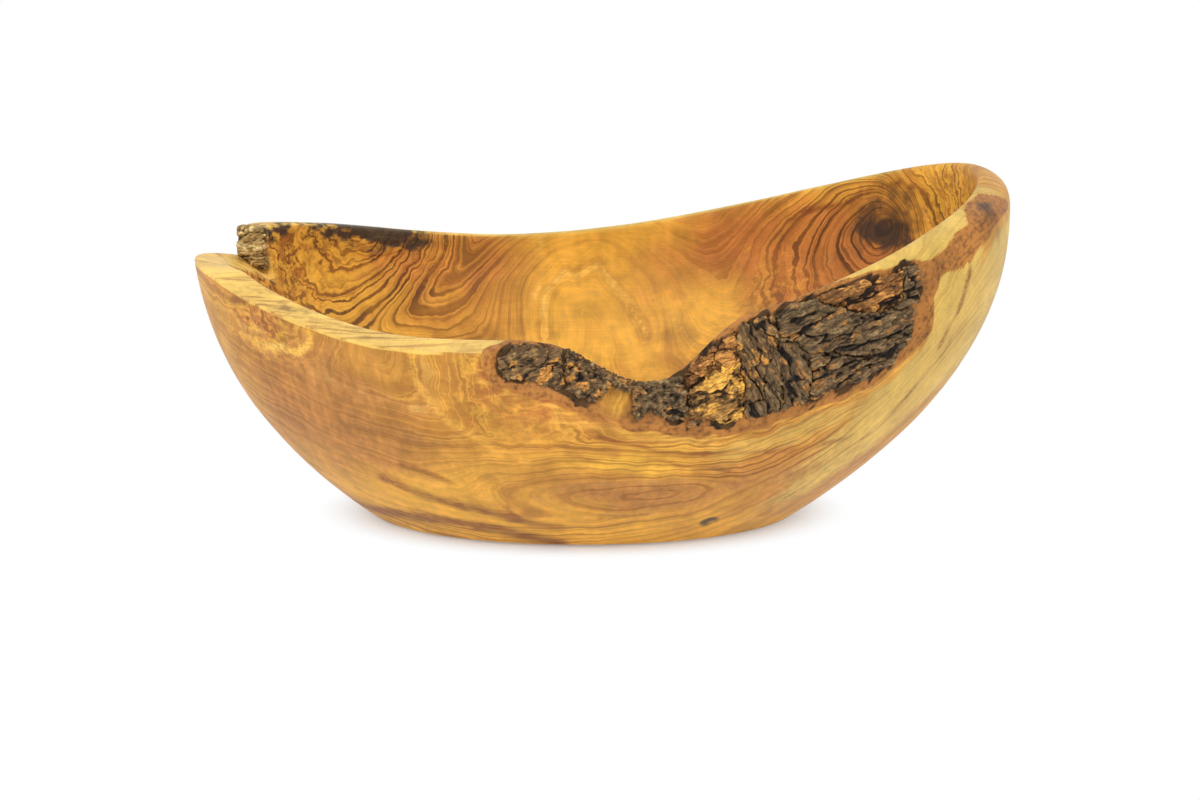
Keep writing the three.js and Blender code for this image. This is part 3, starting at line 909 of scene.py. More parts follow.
WOOD_RELIEF = ("wave_height", "wave_size", "bed_height", "bed_size", "foot_clear")


def wood_relief() -> Shaper:
    """Builds the tree that gives the wood its faint hand-carved waves and the rough bed under the bark.

    Returns:
        The tree.
    """
    sizes = {label(size): "NodeSocketFloat" for size in WOOD_RELIEF}
    shaper = Shaper("wood_relief", {**sizes, "Material": "NodeSocketMaterial"})
    add, join, inputs = shaper.add, shaper.join, shaper.inputs
    place = add("GeometryNodeInputPosition").outputs[0]
    height = add("ShaderNodeSeparateXYZ", {0: place}).outputs["Z"]
    carved = add("ShaderNodeMapRange", {"Value": height, "From Max": inputs["Foot Clear"]}).outputs[0]
    scar = add("GeometryNodeInputNamedAttribute", {"Name": Share.SCAR.value}, data_type="FLOAT").outputs[0]
    total = 0.0
    for swell, detail, mask in (("Wave", 1.0, carved), ("Bed", 4.0, scar)):
        scale = join(Do.DIVIDE, 1.0, inputs[f"{swell} Size"])
        noise = add("ShaderNodeTexNoise", {"Vector": place, "Scale": scale, "Detail": detail}).outputs[0]
        tall = join(Do.MULTIPLY, join(Do.SUBTRACT, noise, 0.5), inputs[f"{swell} Height"])
        total = join(Do.ADD, total, join(Do.MULTIPLY, tall, mask))
    push = join(Do.SCALE, add("GeometryNodeInputNormal").outputs[0], total)
    shaper.close(add("GeometryNodeSetPosition", {"Geometry": inputs["Geometry"], "Offset": push}).outputs[0])
    return shaper


class Painter(NodeWork):
    """A material under construction, whose colour is laid on in layers."""

    def __init__(self, name: str, ground: str = "ffffff") -> None:
        """Starts an empty material that reads the piece's own coordinates.

        Args:
            name: The material's name.
            ground: The colour under all layers.
        """
        self.material = bpy.data.materials.new(name)
        self.material.use_nodes = True
        super().__init__(self.material.node_tree)
        self.place = self.add("ShaderNodeTexCoord").outputs["Object"]
        self.colour: Any = linear(ground)

    def lay(self, share: Socket, tint: str | Socket) -> None:
        """Lays a colour over the colour so far, by a share."""
        over = linear(tint) if isinstance(tint, str) else tint
        self.colour = self.join(Do.MIX, share, self.colour, over)

    def tone(self, value: Socket) -> None:
        """Makes the colour so far lighter or darker by a factor."""
        grey = self.add("ShaderNodeCombineColor", {0: value, 1: value, 2: value}).outputs[0]
        self.colour = self.join(Do.TINT, 1.0, self.colour, grey)

    def cloud(self, size: float, detail: float, shape: Point = (1, 1, 1)) -> Socket:
        """Gives random swells of a size in millimetres, stretched to a shape.

        Args:
            size: The width of a swell.
            detail: How many finer swells lie on it.
            shape: How much longer it is along x, y and z.

        Returns:
            A value of 0 to 1.
        """
        scale = tuple(1 / (size * MM * side) for side in shape)
        mapped = self.add("ShaderNodeMapping", {"Vector": self.place, "Scale": scale}).outputs[0]
        return self.add("ShaderNodeTexNoise", {"Vector": mapped, "Scale": 1.0, "Detail": detail}).outputs[0]

    def streak(self, ring: Any, size: float, detail: float, start: float = 0) -> Socket:
        """Gives random streaks along the growth rings, of a spacing in millimetres.

        Args:
            ring: The growth ring.
            size: The spacing.
            detail: How many finer streaks lie between.
            start: Where in the random row to start.

        Returns:
            A value of 0 to 1.
        """
        scaled = self.join(Do.DIVIDE, self.join(Do.ADD, ring, start), size)
        sockets = {"W": scaled, "Scale": 1.0, "Detail": detail}
        return self.add("ShaderNodeTexNoise", sockets, noise_dimensions="1D").outputs[0]

    def finish(self, sockets: Mapping[str, Any]) -> bpy.types.Material:
        """Ends the material in one shader of its colour.

        Args:
            sockets: What the shader's other inputs get.

        Returns:
            The material.
        """
        shader = self.add("ShaderNodeBsdfPrincipled", {"Base Color": self.colour, **sockets})
        self.add("ShaderNodeOutputMaterial", {"Surface": shader.outputs[0]})
        return self.material


@dataclass(frozen=True)
class OiledOlive:
    """Olive heartwood, carved, sanded and oiled: golden tan with brown ring lines and a satin sheen."""

    name: str = "olive_wood_oiled"
    tan: str = "c98f3c"
    honey: str = "dda440"
    # The gold colour is also laid as painted light on the lower front and underside.
    gold: str = "f2b843"
    warm: str = "ca813d"
    rosy: str = "b97f40"
    sap: str = "d9b55d"
    rim: str = "f2c765"
    amber: str = "eda93f"
    amber_deep: str = "bd6d26"
    mid_line: str = "91551e"
    dark_line: str = "4a2911"
    pale_line: str = "f0bc5e"
    mottle: str = "a4602a"
    pale_vein: str = "f8cb64"
    gold_vein: str = "ebb04a"
    dark_vein: str = "7d421d"
    inner_bark: str = "b27535"
    inner_bark_dark: str = "744820"
    core: str = "2e2823"
    bed: str = "553a1e"
    bed_dark: str = "20160c"
    band_mm: float = 9
    line_mm: float = 3.0
    layer_mm: float = 5.5
    curl_mm: float = 2.6
    curl_shape: Point = (1, 1, 4)
    drift_mm: float = 13
    ripple_mm: float = 3.5
    gnarl_mm: float = 5
    patch_mm: float = 24
    mist_mm: float = 8
    fade_mm: float = 16
    crackle_mm: float = 3.2
    crackle_shape: Point = (1.5, 1, 0.8)
    husk_mm: float = 1.8
    saw_mm: float = 2.4
    bed_mm: float = 3
    shade_mm: float = 14
    saw_long: float = 9
    # Hair lines and fibres are finer on the wood, and are drawn this coarse so that the render shows them.
    hair_mm: float = 0.7
    fibre_mm: float = 0.8
    fibre_long: float = 24
    roughness: float = 0.46
    ior: float = 1.47

    def make(self) -> bpy.types.Material:
        """Builds the material.

        Returns:
            The material, which reads the shares that the shell's mesh carries.
        """
        paint = OlivePaint(self)
        paint.lay_patches()
        paint.draw_lines()
        paint.draw_streaks()
        paint.lay_bark_traces()
        paint.vary_tone()
        rough = paint.join(Do.SPREAD, paint.fibre, 0.2, 0.8, self.roughness - 0.07, self.roughness + 0.1)
        rough = paint.join(Do.ADD, rough, paint.join(Do.MULTIPLY, paint.share[Share.SCAR], 0.35))
        bump = paint.add("ShaderNodeBump", {"Strength": 0.25, "Distance": 0.15 * MM, "Height": paint.fibre})
        return paint.finish({
            "Roughness": rough, "IOR": self.ior, "Specular IOR Level": 0.3, "Normal": bump.outputs[0],
        })


class OlivePaint(Painter):
    """The wood's material under construction, with the patterns that its colours follow."""

    def __init__(self, look: OiledOlive) -> None:
        """Lays out the growth rings, their bands and lines, the fibres and the clouds.

        Args:
            look: The wood's colours and the sizes of its patterns.
        """
        super().__init__(look.name, look.tan)
        join, cloud = self.join, self.cloud
        self.look = look
        self.share = {
            share: self.add("ShaderNodeAttribute", attribute_name=share.value).outputs["Fac"]
            for share in Share
        }
        sway = join(Do.SPREAD, cloud(look.drift_mm, 2), 0, 1, -1.4, 1.4)
        sway = join(Do.ADD, sway, join(Do.SPREAD, cloud(look.ripple_mm, 2), 0, 1, -0.5, 0.5))
        gnarl = join(Do.SPREAD, cloud(look.gnarl_mm, 5), 0, 1, -6, 6)
        sway = join(Do.ADD, sway, join(Do.MULTIPLY, gnarl, self.share[Share.WILD]))
        self.ring = join(Do.ADD, self.share[Share.RING], sway)
        self.band = self.streak(self.ring, look.band_mm, 2)
        stripe = self.streak(self.ring, look.line_mm, 1.5)
        self.halo = join(Do.SPREAD, stripe, 0.46, 0.6)
        self.line = join(Do.SPREAD, stripe, 0.55, 0.61)
        self.thin = join(Do.SPREAD, self.streak(self.ring, look.line_mm * 0.45, 1, 71), 0.52, 0.64)
        sawn = join(Do.MAXIMUM, self.share[Share.RIM], join(Do.MULTIPLY, self.share[Share.SAP], 0.6))
        self.dark = join(Do.MULTIPLY, self.share[Share.DARK_LINES], join(Do.SPREAD, sawn, 0, 1, 1, 0))
        self.misty = cloud(look.mist_mm, 4)
        self.fibre = cloud(look.fibre_mm, 2, (look.fibre_long, 1, 1))
        self.crackle = cloud(look.crackle_mm, 5, look.crackle_shape)

    def lay_patches(self) -> None:
        """Lays on the broad bands, the amber of the dark rings and the patches of other colours."""
        join, look = self.join, self.look
        self.lay(join(Do.SPREAD, self.band, 0.3, 0.68), look.honey)
        layers = join(Do.SPREAD, self.streak(self.ring, look.layer_mm, 2.5, 31), 0.36, 0.62)
        amber = join(Do.MIX, layers, linear(look.amber), linear(look.amber_deep))
        self.lay(join(Do.MULTIPLY, self.dark, 0.75), amber)
        uneven = join(Do.SPREAD, self.band, 0, 1, -0.3, 0.3)
        uneven = join(Do.ADD, uneven, join(Do.SPREAD, self.misty, 0, 1, -0.25, 0.25))
        # The gold share lays golden patches and painted light on the lower front and underside.
        for name in (Share.GOLD, Share.WARM, Share.ROSY, Share.SAP, Share.RIM):
            shown = join(Do.ADD, self.share[name], uneven)
            self.lay(join(Do.SPREAD, shown, 0.15, 0.85), getattr(look, name.value))

    def draw_lines(self) -> None:
        """Draws the ring lines: faint ones, strong ones where the rings are dark, and pale ones."""
        join, share, look = self.join, self.share, self.look
        calm = join(Do.ADD, join(Do.MULTIPLY, share[Share.SAP], 0.5), share[Share.RIM])
        calm = join(Do.ADD, calm, share[Share.GOLD])
        calm = join(Do.ADD, calm, join(Do.MULTIPLY, share[Share.ROSY], 0.4))
        quiet = join(Do.SPREAD, calm, 0.2, 0.9, 0.42, 0.03)
        patchy = join(Do.SPREAD, self.cloud(look.patch_mm, 3), 0.36, 0.6, 0.15, 1)
        faint = join(Do.MULTIPLY, join(Do.MULTIPLY, join(Do.MAXIMUM, self.halo, self.thin), patchy), quiet)
        shade = join(Do.MULTIPLY, join(Do.MULTIPLY, self.halo, self.dark), 0.7)
        self.lay(join(Do.MAXIMUM, faint, shade), look.mid_line)
        strong = join(Do.MAXIMUM, self.line, join(Do.MULTIPLY, self.thin, 0.5))
        fade = join(Do.SPREAD, self.cloud(look.fade_mm, 3), 0.36, 0.6, 0.4, 0.9)
        self.lay(join(Do.MULTIPLY, join(Do.MULTIPLY, strong, self.dark), fade), look.dark_line)
        pale = join(Do.MULTIPLY, self.thin, share[Share.PALE_LINES])
        self.lay(join(Do.MULTIPLY, pale, 0.55), look.pale_line)

    def draw_streaks(self) -> None:
        """Draws the single streaks, and breaks the colour up where the wood is gnarled."""
        join, share, look = self.join, self.share, self.look
        golden = join(Do.SPREAD, share[Share.GOLD], 0.2, 0.7)
        bright = join(Do.MIX, golden, linear(look.gold_vein), linear(look.pale_vein))
        for name, tint in ((Share.PALE_VEIN, bright), (Share.DARK_VEIN, look.dark_vein)):
            uneven = join(Do.MULTIPLY, share[name], join(Do.SPREAD, self.misty, 0.3, 0.7, 0.6, 1))
            uneven = join(Do.MULTIPLY, uneven, join(Do.SPREAD, self.fibre, 0.3, 0.7, 0.72, 1.2))
            self.lay(join(Do.SPREAD, uneven, 0.05, 0.85, 0, 0.85), tint)
        for tint, low, high, most in ((look.mottle, 0.5, 0.62, 0.6), (look.gold, 0.47, 0.36, 0.55)):
            speck = join(Do.SPREAD, self.crackle, low, high, 0, most)
            self.lay(join(Do.MULTIPLY, speck, share[Share.WILD]), tint)

    def lay_bark_traces(self) -> None:
        """Lays on the inner bark, the saw marks of the brim, the dark cores and the bed under the bark."""
        join, share, look = self.join, self.share, self.look
        grown = join(Do.MULTIPLY, self.streak(self.ring, look.line_mm * 0.5, 3, 17), 0.3)
        grown = join(Do.ADD, grown, join(Do.MULTIPLY, self.cloud(look.husk_mm, 5), 0.7))
        grown = join(Do.SPREAD, grown, 0.42, 0.7)
        husk = join(Do.MIX, grown, linear(look.inner_bark), linear(look.inner_bark_dark))
        shown = join(Do.ADD, share[Share.INNER_BARK], join(Do.SPREAD, self.misty, 0, 1, -0.3, 0.3))
        self.lay(join(Do.SPREAD, shown, 0.3, 0.7), husk)
        sawn = join(Do.SPREAD, self.cloud(look.saw_mm, 3, (look.saw_long, 1, 1)), 0.5, 0.66)
        self.lay(join(Do.MULTIPLY, join(Do.MULTIPLY, sawn, share[Share.RIM]), 0.6), look.mid_line)
        broken = join(Do.SPREAD, self.crackle, 0.35, 0.65, -0.4, 0.4)
        broken = join(Do.MULTIPLY, broken, join(Do.SPREAD, share[Share.CORE], 0.05, 0.5))
        spot = join(Do.ADD, share[Share.CORE], join(Do.SPREAD, self.misty, 0.3, 0.7, -0.25, 0.25))
        spot = join(Do.ADD, spot, join(Do.MULTIPLY, broken, share[Share.WILD]))
        self.lay(join(Do.SPREAD, spot, 0.1, 0.8, 0, 0.92), look.core)
        rough = join(Do.SPREAD, self.cloud(look.bed_mm, 5), 0.42, 0.66)
        bed = join(Do.MIX, rough, linear(look.bed), linear(look.bed_dark))
        self.lay(join(Do.SPREAD, share[Share.SCAR], 0.3, 0.8), bed)

    def vary_tone(self) -> None:
        """Varies the tone by fibres, hair lines, clouds and the curl of the grain."""
        join, look = self.join, self.look
        hair = self.streak(self.ring, look.hair_mm, 2, 140)
        mist = join(Do.SPREAD, self.misty, 0.25, 0.75, -0.14, 0.14)
        mist = join(Do.MULTIPLY, mist, join(Do.SPREAD, self.share[Share.SAP], 0, 1, 1, 0.4))
        curl = join(Do.SPREAD, self.cloud(look.curl_mm, 3, look.curl_shape), 0.3, 0.7, -1, 1)
        curl = join(Do.MULTIPLY, curl, join(Do.SPREAD, self.share[Share.ROSY], 0, 1, 0.04, 0.15))
        self.tone(join(Do.SPREAD, self.fibre, 0.2, 0.8, 0.94, 1.06))
        self.tone(join(Do.SPREAD, hair, 0.2, 0.8, 0.93, 1.07))
        self.tone(join(Do.ADD, mist, 1.0))
        self.tone(join(Do.SPREAD, self.cloud(look.shade_mm, 3), 0.3, 0.7, 0.89, 1.11))
        self.tone(join(Do.ADD, curl, 1.0))


@dataclass
class BowlShell:
    """The carved wood: foot, outside, brim, natural face and hollow, as one closed skin."""

    form: CarvedForm
    figure: OliveFigure
    beds: tuple[str, ...] = ()
    columns: tuple[tuple[float, float, int], ...] = (
        (-110, -10, 170),
        (-10, 150, 170),
        (150, 163, 50),
        (163, 250, 100),
    )
    foot_rows: int = 3
    wall_rows: int = 68
    round_rows: int = 4
    face_rows: int = 22
    lip_rows: int = 3
    hollow_rows: int = 78
    wall_bunching: float = 1.2
    hollow_bunching: float = 1.9
    round_most: float = 0.45
    wave_height: float = 0.5
    wave_size: float = 26
    bed_height: float = 1.8
    bed_size: float = 4.5
    foot_clear: float = 8
    bark_reach: float = 10
    lip_round_more: float = 2.4

    def rounded(self, before: Array, corner: Array, after: Array) -> Array:
        """Rounds a corner.

        Args:
            before: Where the rounding starts.
            corner: The sharp corner.
            after: Where the rounding ends.

        Returns:
            The rounded rows.
        """
        t = np.linspace(0, 1, self.round_rows + 1)[None, :, None]
        before, corner, after = (p[:, None] for p in (before, corner, after))
        return (1 - t) ** 2 * before + 2 * t * (1 - t) * corner + t ** 2 * after

    def towards(self, start: Array, end: Array, length: Array) -> Array:
        """Goes a length from one point towards another, and not past its middle.

        Args:
            start: Where to go from.
            end: Where to go to.
            length: How far to go.

        Returns:
            The places that are reached.
        """
        span = np.linalg.norm(end - start, axis=-1)
        share = np.minimum(length / np.maximum(span, 1e-6), self.round_most)
        return start + (end - start) * share[:, None]

    def loft(self) -> tuple[Array, SkinPlaces]:
        """Works out the skin's points, column by column.

        Returns:
            The points as columns by rows, and where they and the middles of foot and floor lie.
        """
        form = self.form
        angle = np.concatenate([np.linspace(a, b, n, endpoint=False) for a, b, n in self.columns])
        turn = angle[:, None]
        outer, lip, inner = form.brim_corners(angle)
        edge = form.edge_round(angle)
        small = np.minimum(edge, form.lip_least + self.lip_round_more * form.end_share(angle))
        foot_share = np.linspace(0, 1, self.foot_rows + 1)[None, 1:]
        foot_reaches = [(wall.foot - form.foot_edge_round) * foot_share for wall in form.reaches()]
        foot = form.oval(turn, foot_reaches, 0.0)
        rise = np.linspace(0, 1, self.wall_rows + 1)[None] ** self.wall_bunching
        top = outer[:, 2:3] - edge[:, None]
        wall = form.outside(turn, form.foot_edge_rise + (top - form.foot_edge_rise) * rise)
        outer_round = self.rounded(wall[:, -1], outer, self.towards(outer, lip, edge))
        lip_round = self.rounded(self.towards(lip, outer, small), lip, self.towards(lip, inner, small))
        inner_end = form.hollow(angle, inner[:, 2] - small)
        inner_round = self.rounded(self.towards(inner, lip, small), inner, inner_end)
        face = self.bridge(outer_round, lip_round, self.face_rows)
        flat = self.bridge(lip_round, inner_round, self.lip_rows)
        sink = np.linspace(1, 0, self.hollow_rows + 1)[None, 1:-1] ** self.hollow_bunching
        hollow = form.hollow(turn, form.floor + (inner_end[:, 2:3] - form.floor) * sink)
        parts = (foot, wall[:, :-1], outer_round, face, lip_round, flat, inner_round, hollow)
        points = np.concatenate(parts, axis=1)
        ends = np.cumsum([part.shape[1] for part in parts])
        return points, self.locate(angle, points, (outer, inner), ends)

    def locate(self, angle: Array, points: Array, corners: tuple[Array, Array], ends: Array) -> SkinPlaces:
        """Works out where the skin's points lie.

        Args:
            angle: The angle of each column.
            points: The points, as columns by rows.
            corners: The brim's outer and inner corners.
            ends: The row at which each part of the skin ends.

        Returns:
            The places, with the two middles of foot and floor last.
        """
        outer, inner = corners
        half = self.round_rows // 2
        first_wall = ends[0]
        first_face, first_lip, first_hollow = (ends[part] + half for part in (1, 3, 5))
        drop, inset, brim, on_face = (np.zeros(points.shape[:2]) for _ in range(4))
        drop[:, first_wall:first_face] = outer[:, 2:3] - points[:, first_wall:first_face, 2]
        across = points[:, first_face:first_hollow] - inner[:, None]
        inset[:, first_face:first_hollow] = np.linalg.norm(across, axis=2)
        brim[:, first_face:first_hollow + 1] = 1
        on_face[:, first_face:first_lip] = 1
        near = self.bark_distance(points, (brim > 0) | ((drop > 0) & (drop < self.bark_reach)))
        around = np.repeat((angle + 180) % 360 - 180, points.shape[1])
        middles = (0, 0, 0, FAR, 0, 0)
        sides = zip((around, drop, inset, near, brim, on_face), middles)
        return SkinPlaces(*(np.append(side, [middle, middle]) for side, middle in sides))

    def bridge(self, before: Array, after: Array, rows: int) -> Array:
        """Lays straight rows from the end of one rounding to the start of the next."""
        share = np.linspace(0, 1, rows + 1)[None, 1:-1, None]
        return before[:, -1:] + (after[:, :1] - before[:, -1:]) * share

    def build(self) -> Piece:
        """Builds the closed skin with what its material needs.

        Returns:
            The object.
        """
        grid, places = self.loft()
        count, rows = grid.shape[:2]
        number = np.arange(count * rows).reshape(count, rows)
        ahead = np.roll(number, -1, axis=0)
        quads = np.stack([number[:, :-1], ahead[:, :-1], ahead[:, 1:], number[:, 1:]], axis=-1).reshape(-1, 4)
        foot_middle, floor_middle = count * rows, count * rows + 1
        fans = [(ahead[i, 0], number[i, 0], foot_middle) for i in range(count)]
        fans += [(number[i, -1], ahead[i, -1], floor_middle) for i in range(count)]
        points = np.concatenate([grid.reshape(-1, 3), [[0, 0, 0], [0, 0, self.form.floor]]])
        piece = make_piece("bowl_shell", points, quads.tolist() + fans)
        store_shares(piece, self.figure.shares(points, places))
        return piece

    def bark_distance(self, points: Array, wanted: Array) -> Array:
        """Measures how far points lie from the nearest bark plate.

        Args:
            points: The points, as columns by rows.
            wanted: Which of them to measure.

        Returns:
            The distance in millimetres, and a long one for the others.
        """
        far = np.full(points.shape[:2], FAR)
        meshes = [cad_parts[node].data for node in self.beds]
        plates = [
            BVHTree.FromPolygons([v.co for v in mesh.vertices], [p.vertices for p in mesh.polygons])
            for mesh in meshes
        ]
        for column, row in np.argwhere(wanted):
            place = Vector(points[column, row] * MM)
            far[column, row] = min(tree.find_nearest(place)[3] for tree in plates) / MM
        return far

    def dress(self, piece: Piece, finish: bpy.types.Material) -> None:
        """Gives the skin its carved relief and its finish, and puts it in the place of the CAD body.

        Args:
            piece: The skin.
            finish: The wood's finish.
        """
        sizes = {label(size): getattr(self, size) * MM for size in WOOD_RELIEF}
        wood_relief().run(piece, {**sizes, "Material": finish})
        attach(piece, BODY)
        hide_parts("bowl_body")


@dataclass(frozen=True)
class BarkGrain:
    """The relief of one kind of bark, in millimetres, with the way that its fibres lie in degrees."""

    fibre_turn: Point
    fibre_length: float
    fibre_width: float
    fibre_height: float
    fissure_size: float
    fissure_depth: float
    lump_size: float
    lump_height: float
    flake_height: float
    ragged: float
    swell: float = 0

    def inputs(self) -> dict[str, Any]:
        """Gives the relief's sizes in metres and its turn in radians, by the names of the tree's inputs.

        Returns:
            The value of each input.
        """
        turn, *sizes = (size.name for size in fields(self))
        values = {label(size): getattr(self, size) * MM for size in sizes}
        return {label(turn): tuple(math.radians(a) for a in self.fibre_turn), **values}


# The width of the swells that make a plate's outline ragged.
BARK_WANDER = 20 / 3


def bark_relief() -> Shaper:
    """Builds the tree that gives a bark plate its ragged outline, fibres, fissures, lumps and flakes.

    Returns:
        The tree.
    """
    turn, *sizes = (label(size.name) for size in fields(BarkGrain))
    shaper = Shaper("bark_relief", {
        turn: "NodeSocketVector",
        **{size: "NodeSocketFloat" for size in sizes},
        "Material": "NodeSocketMaterial",
    })
    add, join, inputs = shaper.add, shaper.join, shaper.inputs
    place = add("GeometryNodeInputPosition").outputs[0]
    turned = add("ShaderNodeVectorRotate", {"Vector": place, "Rotation": inputs[turn]},
                 rotation_type="EULER_XYZ").outputs[0]
    along, across, closeness, lumpiness = (
        join(Do.DIVIDE, 1.0, inputs[size])
        for size in ("Fibre Length", "Fibre Width", "Fissure Size", "Lump Size")
    )
    shape = add("ShaderNodeCombineXYZ", {0: along, 1: across, 2: across}).outputs[0]
    fibre = add("ShaderNodeTexNoise", {
        "Vector": join(Do.STRETCH, turned, shape), "Scale": 1.0, "Detail": 4.0, "Distortion": 0.8,
    }).outputs[0]
    wander = add("ShaderNodeTexNoise", {
        "Vector": place, "Scale": 1 / (BARK_WANDER * MM), "Detail": 5.0,
    }).outputs["Color"]
    stray = join(Do.SCALE, join(Do.SHIFT_BACK, wander, (0.5, 0.5, 0.5)), inputs["Ragged"])
    lie = join(Do.SHIFT, turned, stray)
    split_place = join(Do.SCALE, join(Do.STRETCH, lie, (0.25, 1.0, 1.0)), closeness)
    split = add("ShaderNodeTexNoise", {"Vector": split_place, "Scale": 1.0, "Detail": 2.0}).outputs[0]
    split = join(Do.ABSOLUTE, join(Do.SUBTRACT, split, 0.5))
    fissure = join(Do.SPREAD, split, 0.0, 0.035, 1.0, 0.0)
    lump_place = join(Do.SCALE, join(Do.SHIFT, place, stray), lumpiness)
    lump = add("ShaderNodeTexVoronoi", {"Vector": lump_place, "Scale": 1.0}).outputs["Distance"]
    cell_place = join(Do.SCALE, lump_place, 0.55)
    cell = add("ShaderNodeTexVoronoi", {"Vector": cell_place, "Scale": 1.0}).outputs["Color"]
    flake = add("ShaderNodeSeparateXYZ", {0: cell}).outputs[0]
    height = 0.0
    for value, tall in ((fibre, "Fibre"), (join(Do.SUBTRACT, 1.0, lump), "Lump"), (flake, "Flake")):
        swell = join(Do.MULTIPLY, join(Do.SUBTRACT, value, 0.5), inputs[f"{tall} Height"])
        height = join(Do.ADD, height, swell)
    height = join(Do.SUBTRACT, height, join(Do.MULTIPLY, fissure, inputs["Fissure Depth"]))
    out = join(Do.SCALE, add("GeometryNodeInputNormal").outputs[0], join(Do.ADD, height, inputs["Swell"]))
    streak_place = join(Do.SCALE, join(Do.STRETCH, lie, shape), 0.45)
    streak = add("ShaderNodeTexNoise", {"Vector": streak_place, "Scale": 1.0, "Detail": 4.0}).outputs[0]
    kept = inputs["Geometry"]
    carried = (("lie", "FLOAT_VECTOR", lie), ("relief", "FLOAT", height), ("flake", "FLOAT", flake),
               ("streak", "FLOAT", streak))
    for name, kind, value in carried:
        kept = add("GeometryNodeStoreNamedAttribute", {"Geometry": kept, "Name": name, "Value": value},
                   data_type=kind, domain="POINT").outputs[0]
    push = join(Do.SHIFT, out, stray)
    shaper.close(add("GeometryNodeSetPosition", {"Geometry": kept, "Offset": push}).outputs[0])
    return shaper


def crumb_scatter() -> Shaper:
    """Builds the tree that strews small angular chips over a surface.

    Returns:
        The tree.
    """
    shaper = Shaper("crumb_scatter", {
        "Density": "NodeSocketFloat",
        "Least": "NodeSocketVector",
        "Most": "NodeSocketVector",
        "Tilt": "NodeSocketFloat",
        "Seed": "NodeSocketInt",
        "Material": "NodeSocketMaterial",
    })
    add, join, inputs = shaper.add, shaper.join, shaper.inputs
    strewn = add("GeometryNodeDistributePointsOnFaces", {
        "Mesh": inputs["Geometry"], "Density": inputs["Density"], "Seed": inputs["Seed"],
    })
    chip = add("GeometryNodeMeshIcoSphere", {"Radius": 1.0, "Subdivisions": 1}).outputs[0]
    size = add("FunctionNodeRandomValue", {0: inputs["Least"], 1: inputs["Most"], "Seed": inputs["Seed"]},
               data_type="FLOAT_VECTOR").outputs[0]
    low = join(Do.MULTIPLY, inputs["Tilt"], -1.0)
    least = add("ShaderNodeCombineXYZ", {0: low, 1: low, 2: -math.pi}).outputs[0]
    most = add("ShaderNodeCombineXYZ", {0: inputs["Tilt"], 1: inputs["Tilt"], 2: math.pi}).outputs[0]
    spin = add("FunctionNodeRandomValue", {0: least, 1: most, "Seed": inputs["Seed"]},
               data_type="FLOAT_VECTOR").outputs[0]
    turned = add("FunctionNodeRotateRotation", {0: strewn.outputs["Rotation"], 1: spin},
                 rotation_space="LOCAL").outputs[0]
    chips = add("GeometryNodeInstanceOnPoints", {
        "Points": strewn.outputs["Points"], "Instance": chip, "Rotation": turned, "Scale": size,
    }).outputs[0]
    shaper.close(chips)
    return shaper


@dataclass(frozen=True)
class DryBark:
    """Old olive bark: dry and split, with painted shade that makes its fissures nearly black, a painted
    highlight on its raised fibres, and ochre flakes where it has broken.
    """

    name: str
    # The first colour is painted shade for the fissures, and worn is a painted highlight for the raised
    # fibres.
    crevice: str
    body: str
    worn: str
    flake: str
    flake_share: float
    relief_mm: float = 1.0
    # The grit of bark is finer, and is drawn this coarse so that the render shows it.
    grit_mm: float = 0.6
    grit_long: float = 4
    roughness: float = 0.84
    ior: float = 1.45

    def make(self) -> bpy.types.Material:
        """Builds the material, which reads the relief and the flakes that the bark's mesh carries.

        Returns:
            The material.
        """
        paint = Painter(self.name, self.crevice)
        join = paint.join
        relief, flake, streak = (
            paint.add("ShaderNodeAttribute", attribute_name=name).outputs["Fac"]
            for name in ("relief", "flake", "streak")
        )
        deep = self.relief_mm * MM
        # Painted shade and highlight by relief: the fissures keep the near-black shade colour, the body comes
        # in above them, and the raised fibres take the painted highlight.
        paint.lay(join(Do.SPREAD, relief, -1.1 * deep, -0.1 * deep), self.body)
        paint.lay(join(Do.SPREAD, relief, -0.1 * deep, deep), self.worn)
        spread = join(Do.ADD, streak, join(Do.SPREAD, flake, 0, 1, -0.07, 0.07))
        bound = 0.68 - 0.36 * self.flake_share
        flakes = join(Do.SPREAD, spread, bound, bound + 0.1)
        paint.lay(join(Do.MULTIPLY, flakes, join(Do.SPREAD, relief, -0.6 * deep, 0)), self.flake)
        across = 1 / (self.grit_mm * MM)
        lie = paint.add("ShaderNodeAttribute", attribute_name="lie").outputs["Vector"]
        scale = (across / self.grit_long, across, across)
        along = paint.add("ShaderNodeMapping", {"Vector": lie, "Scale": scale}).outputs[0]
        grit = paint.add("ShaderNodeTexNoise", {
            "Vector": along, "Scale": 1.0, "Detail": 4.0, "Distortion": 0.6,
        }).outputs[0]
        paint.tone(join(Do.SPREAD, grit, 0.3, 0.7, 0.42, 1.52))
        rough = join(Do.SPREAD, grit, 0.2, 0.8, self.roughness - 0.08, self.roughness + 0.1)
        bump = paint.add("ShaderNodeBump", {"Strength": 0.9, "Distance": 0.6 * MM, "Height": grit}).outputs[0]
        return paint.finish({"Roughness": rough, "IOR": self.ior, "Normal": bump})


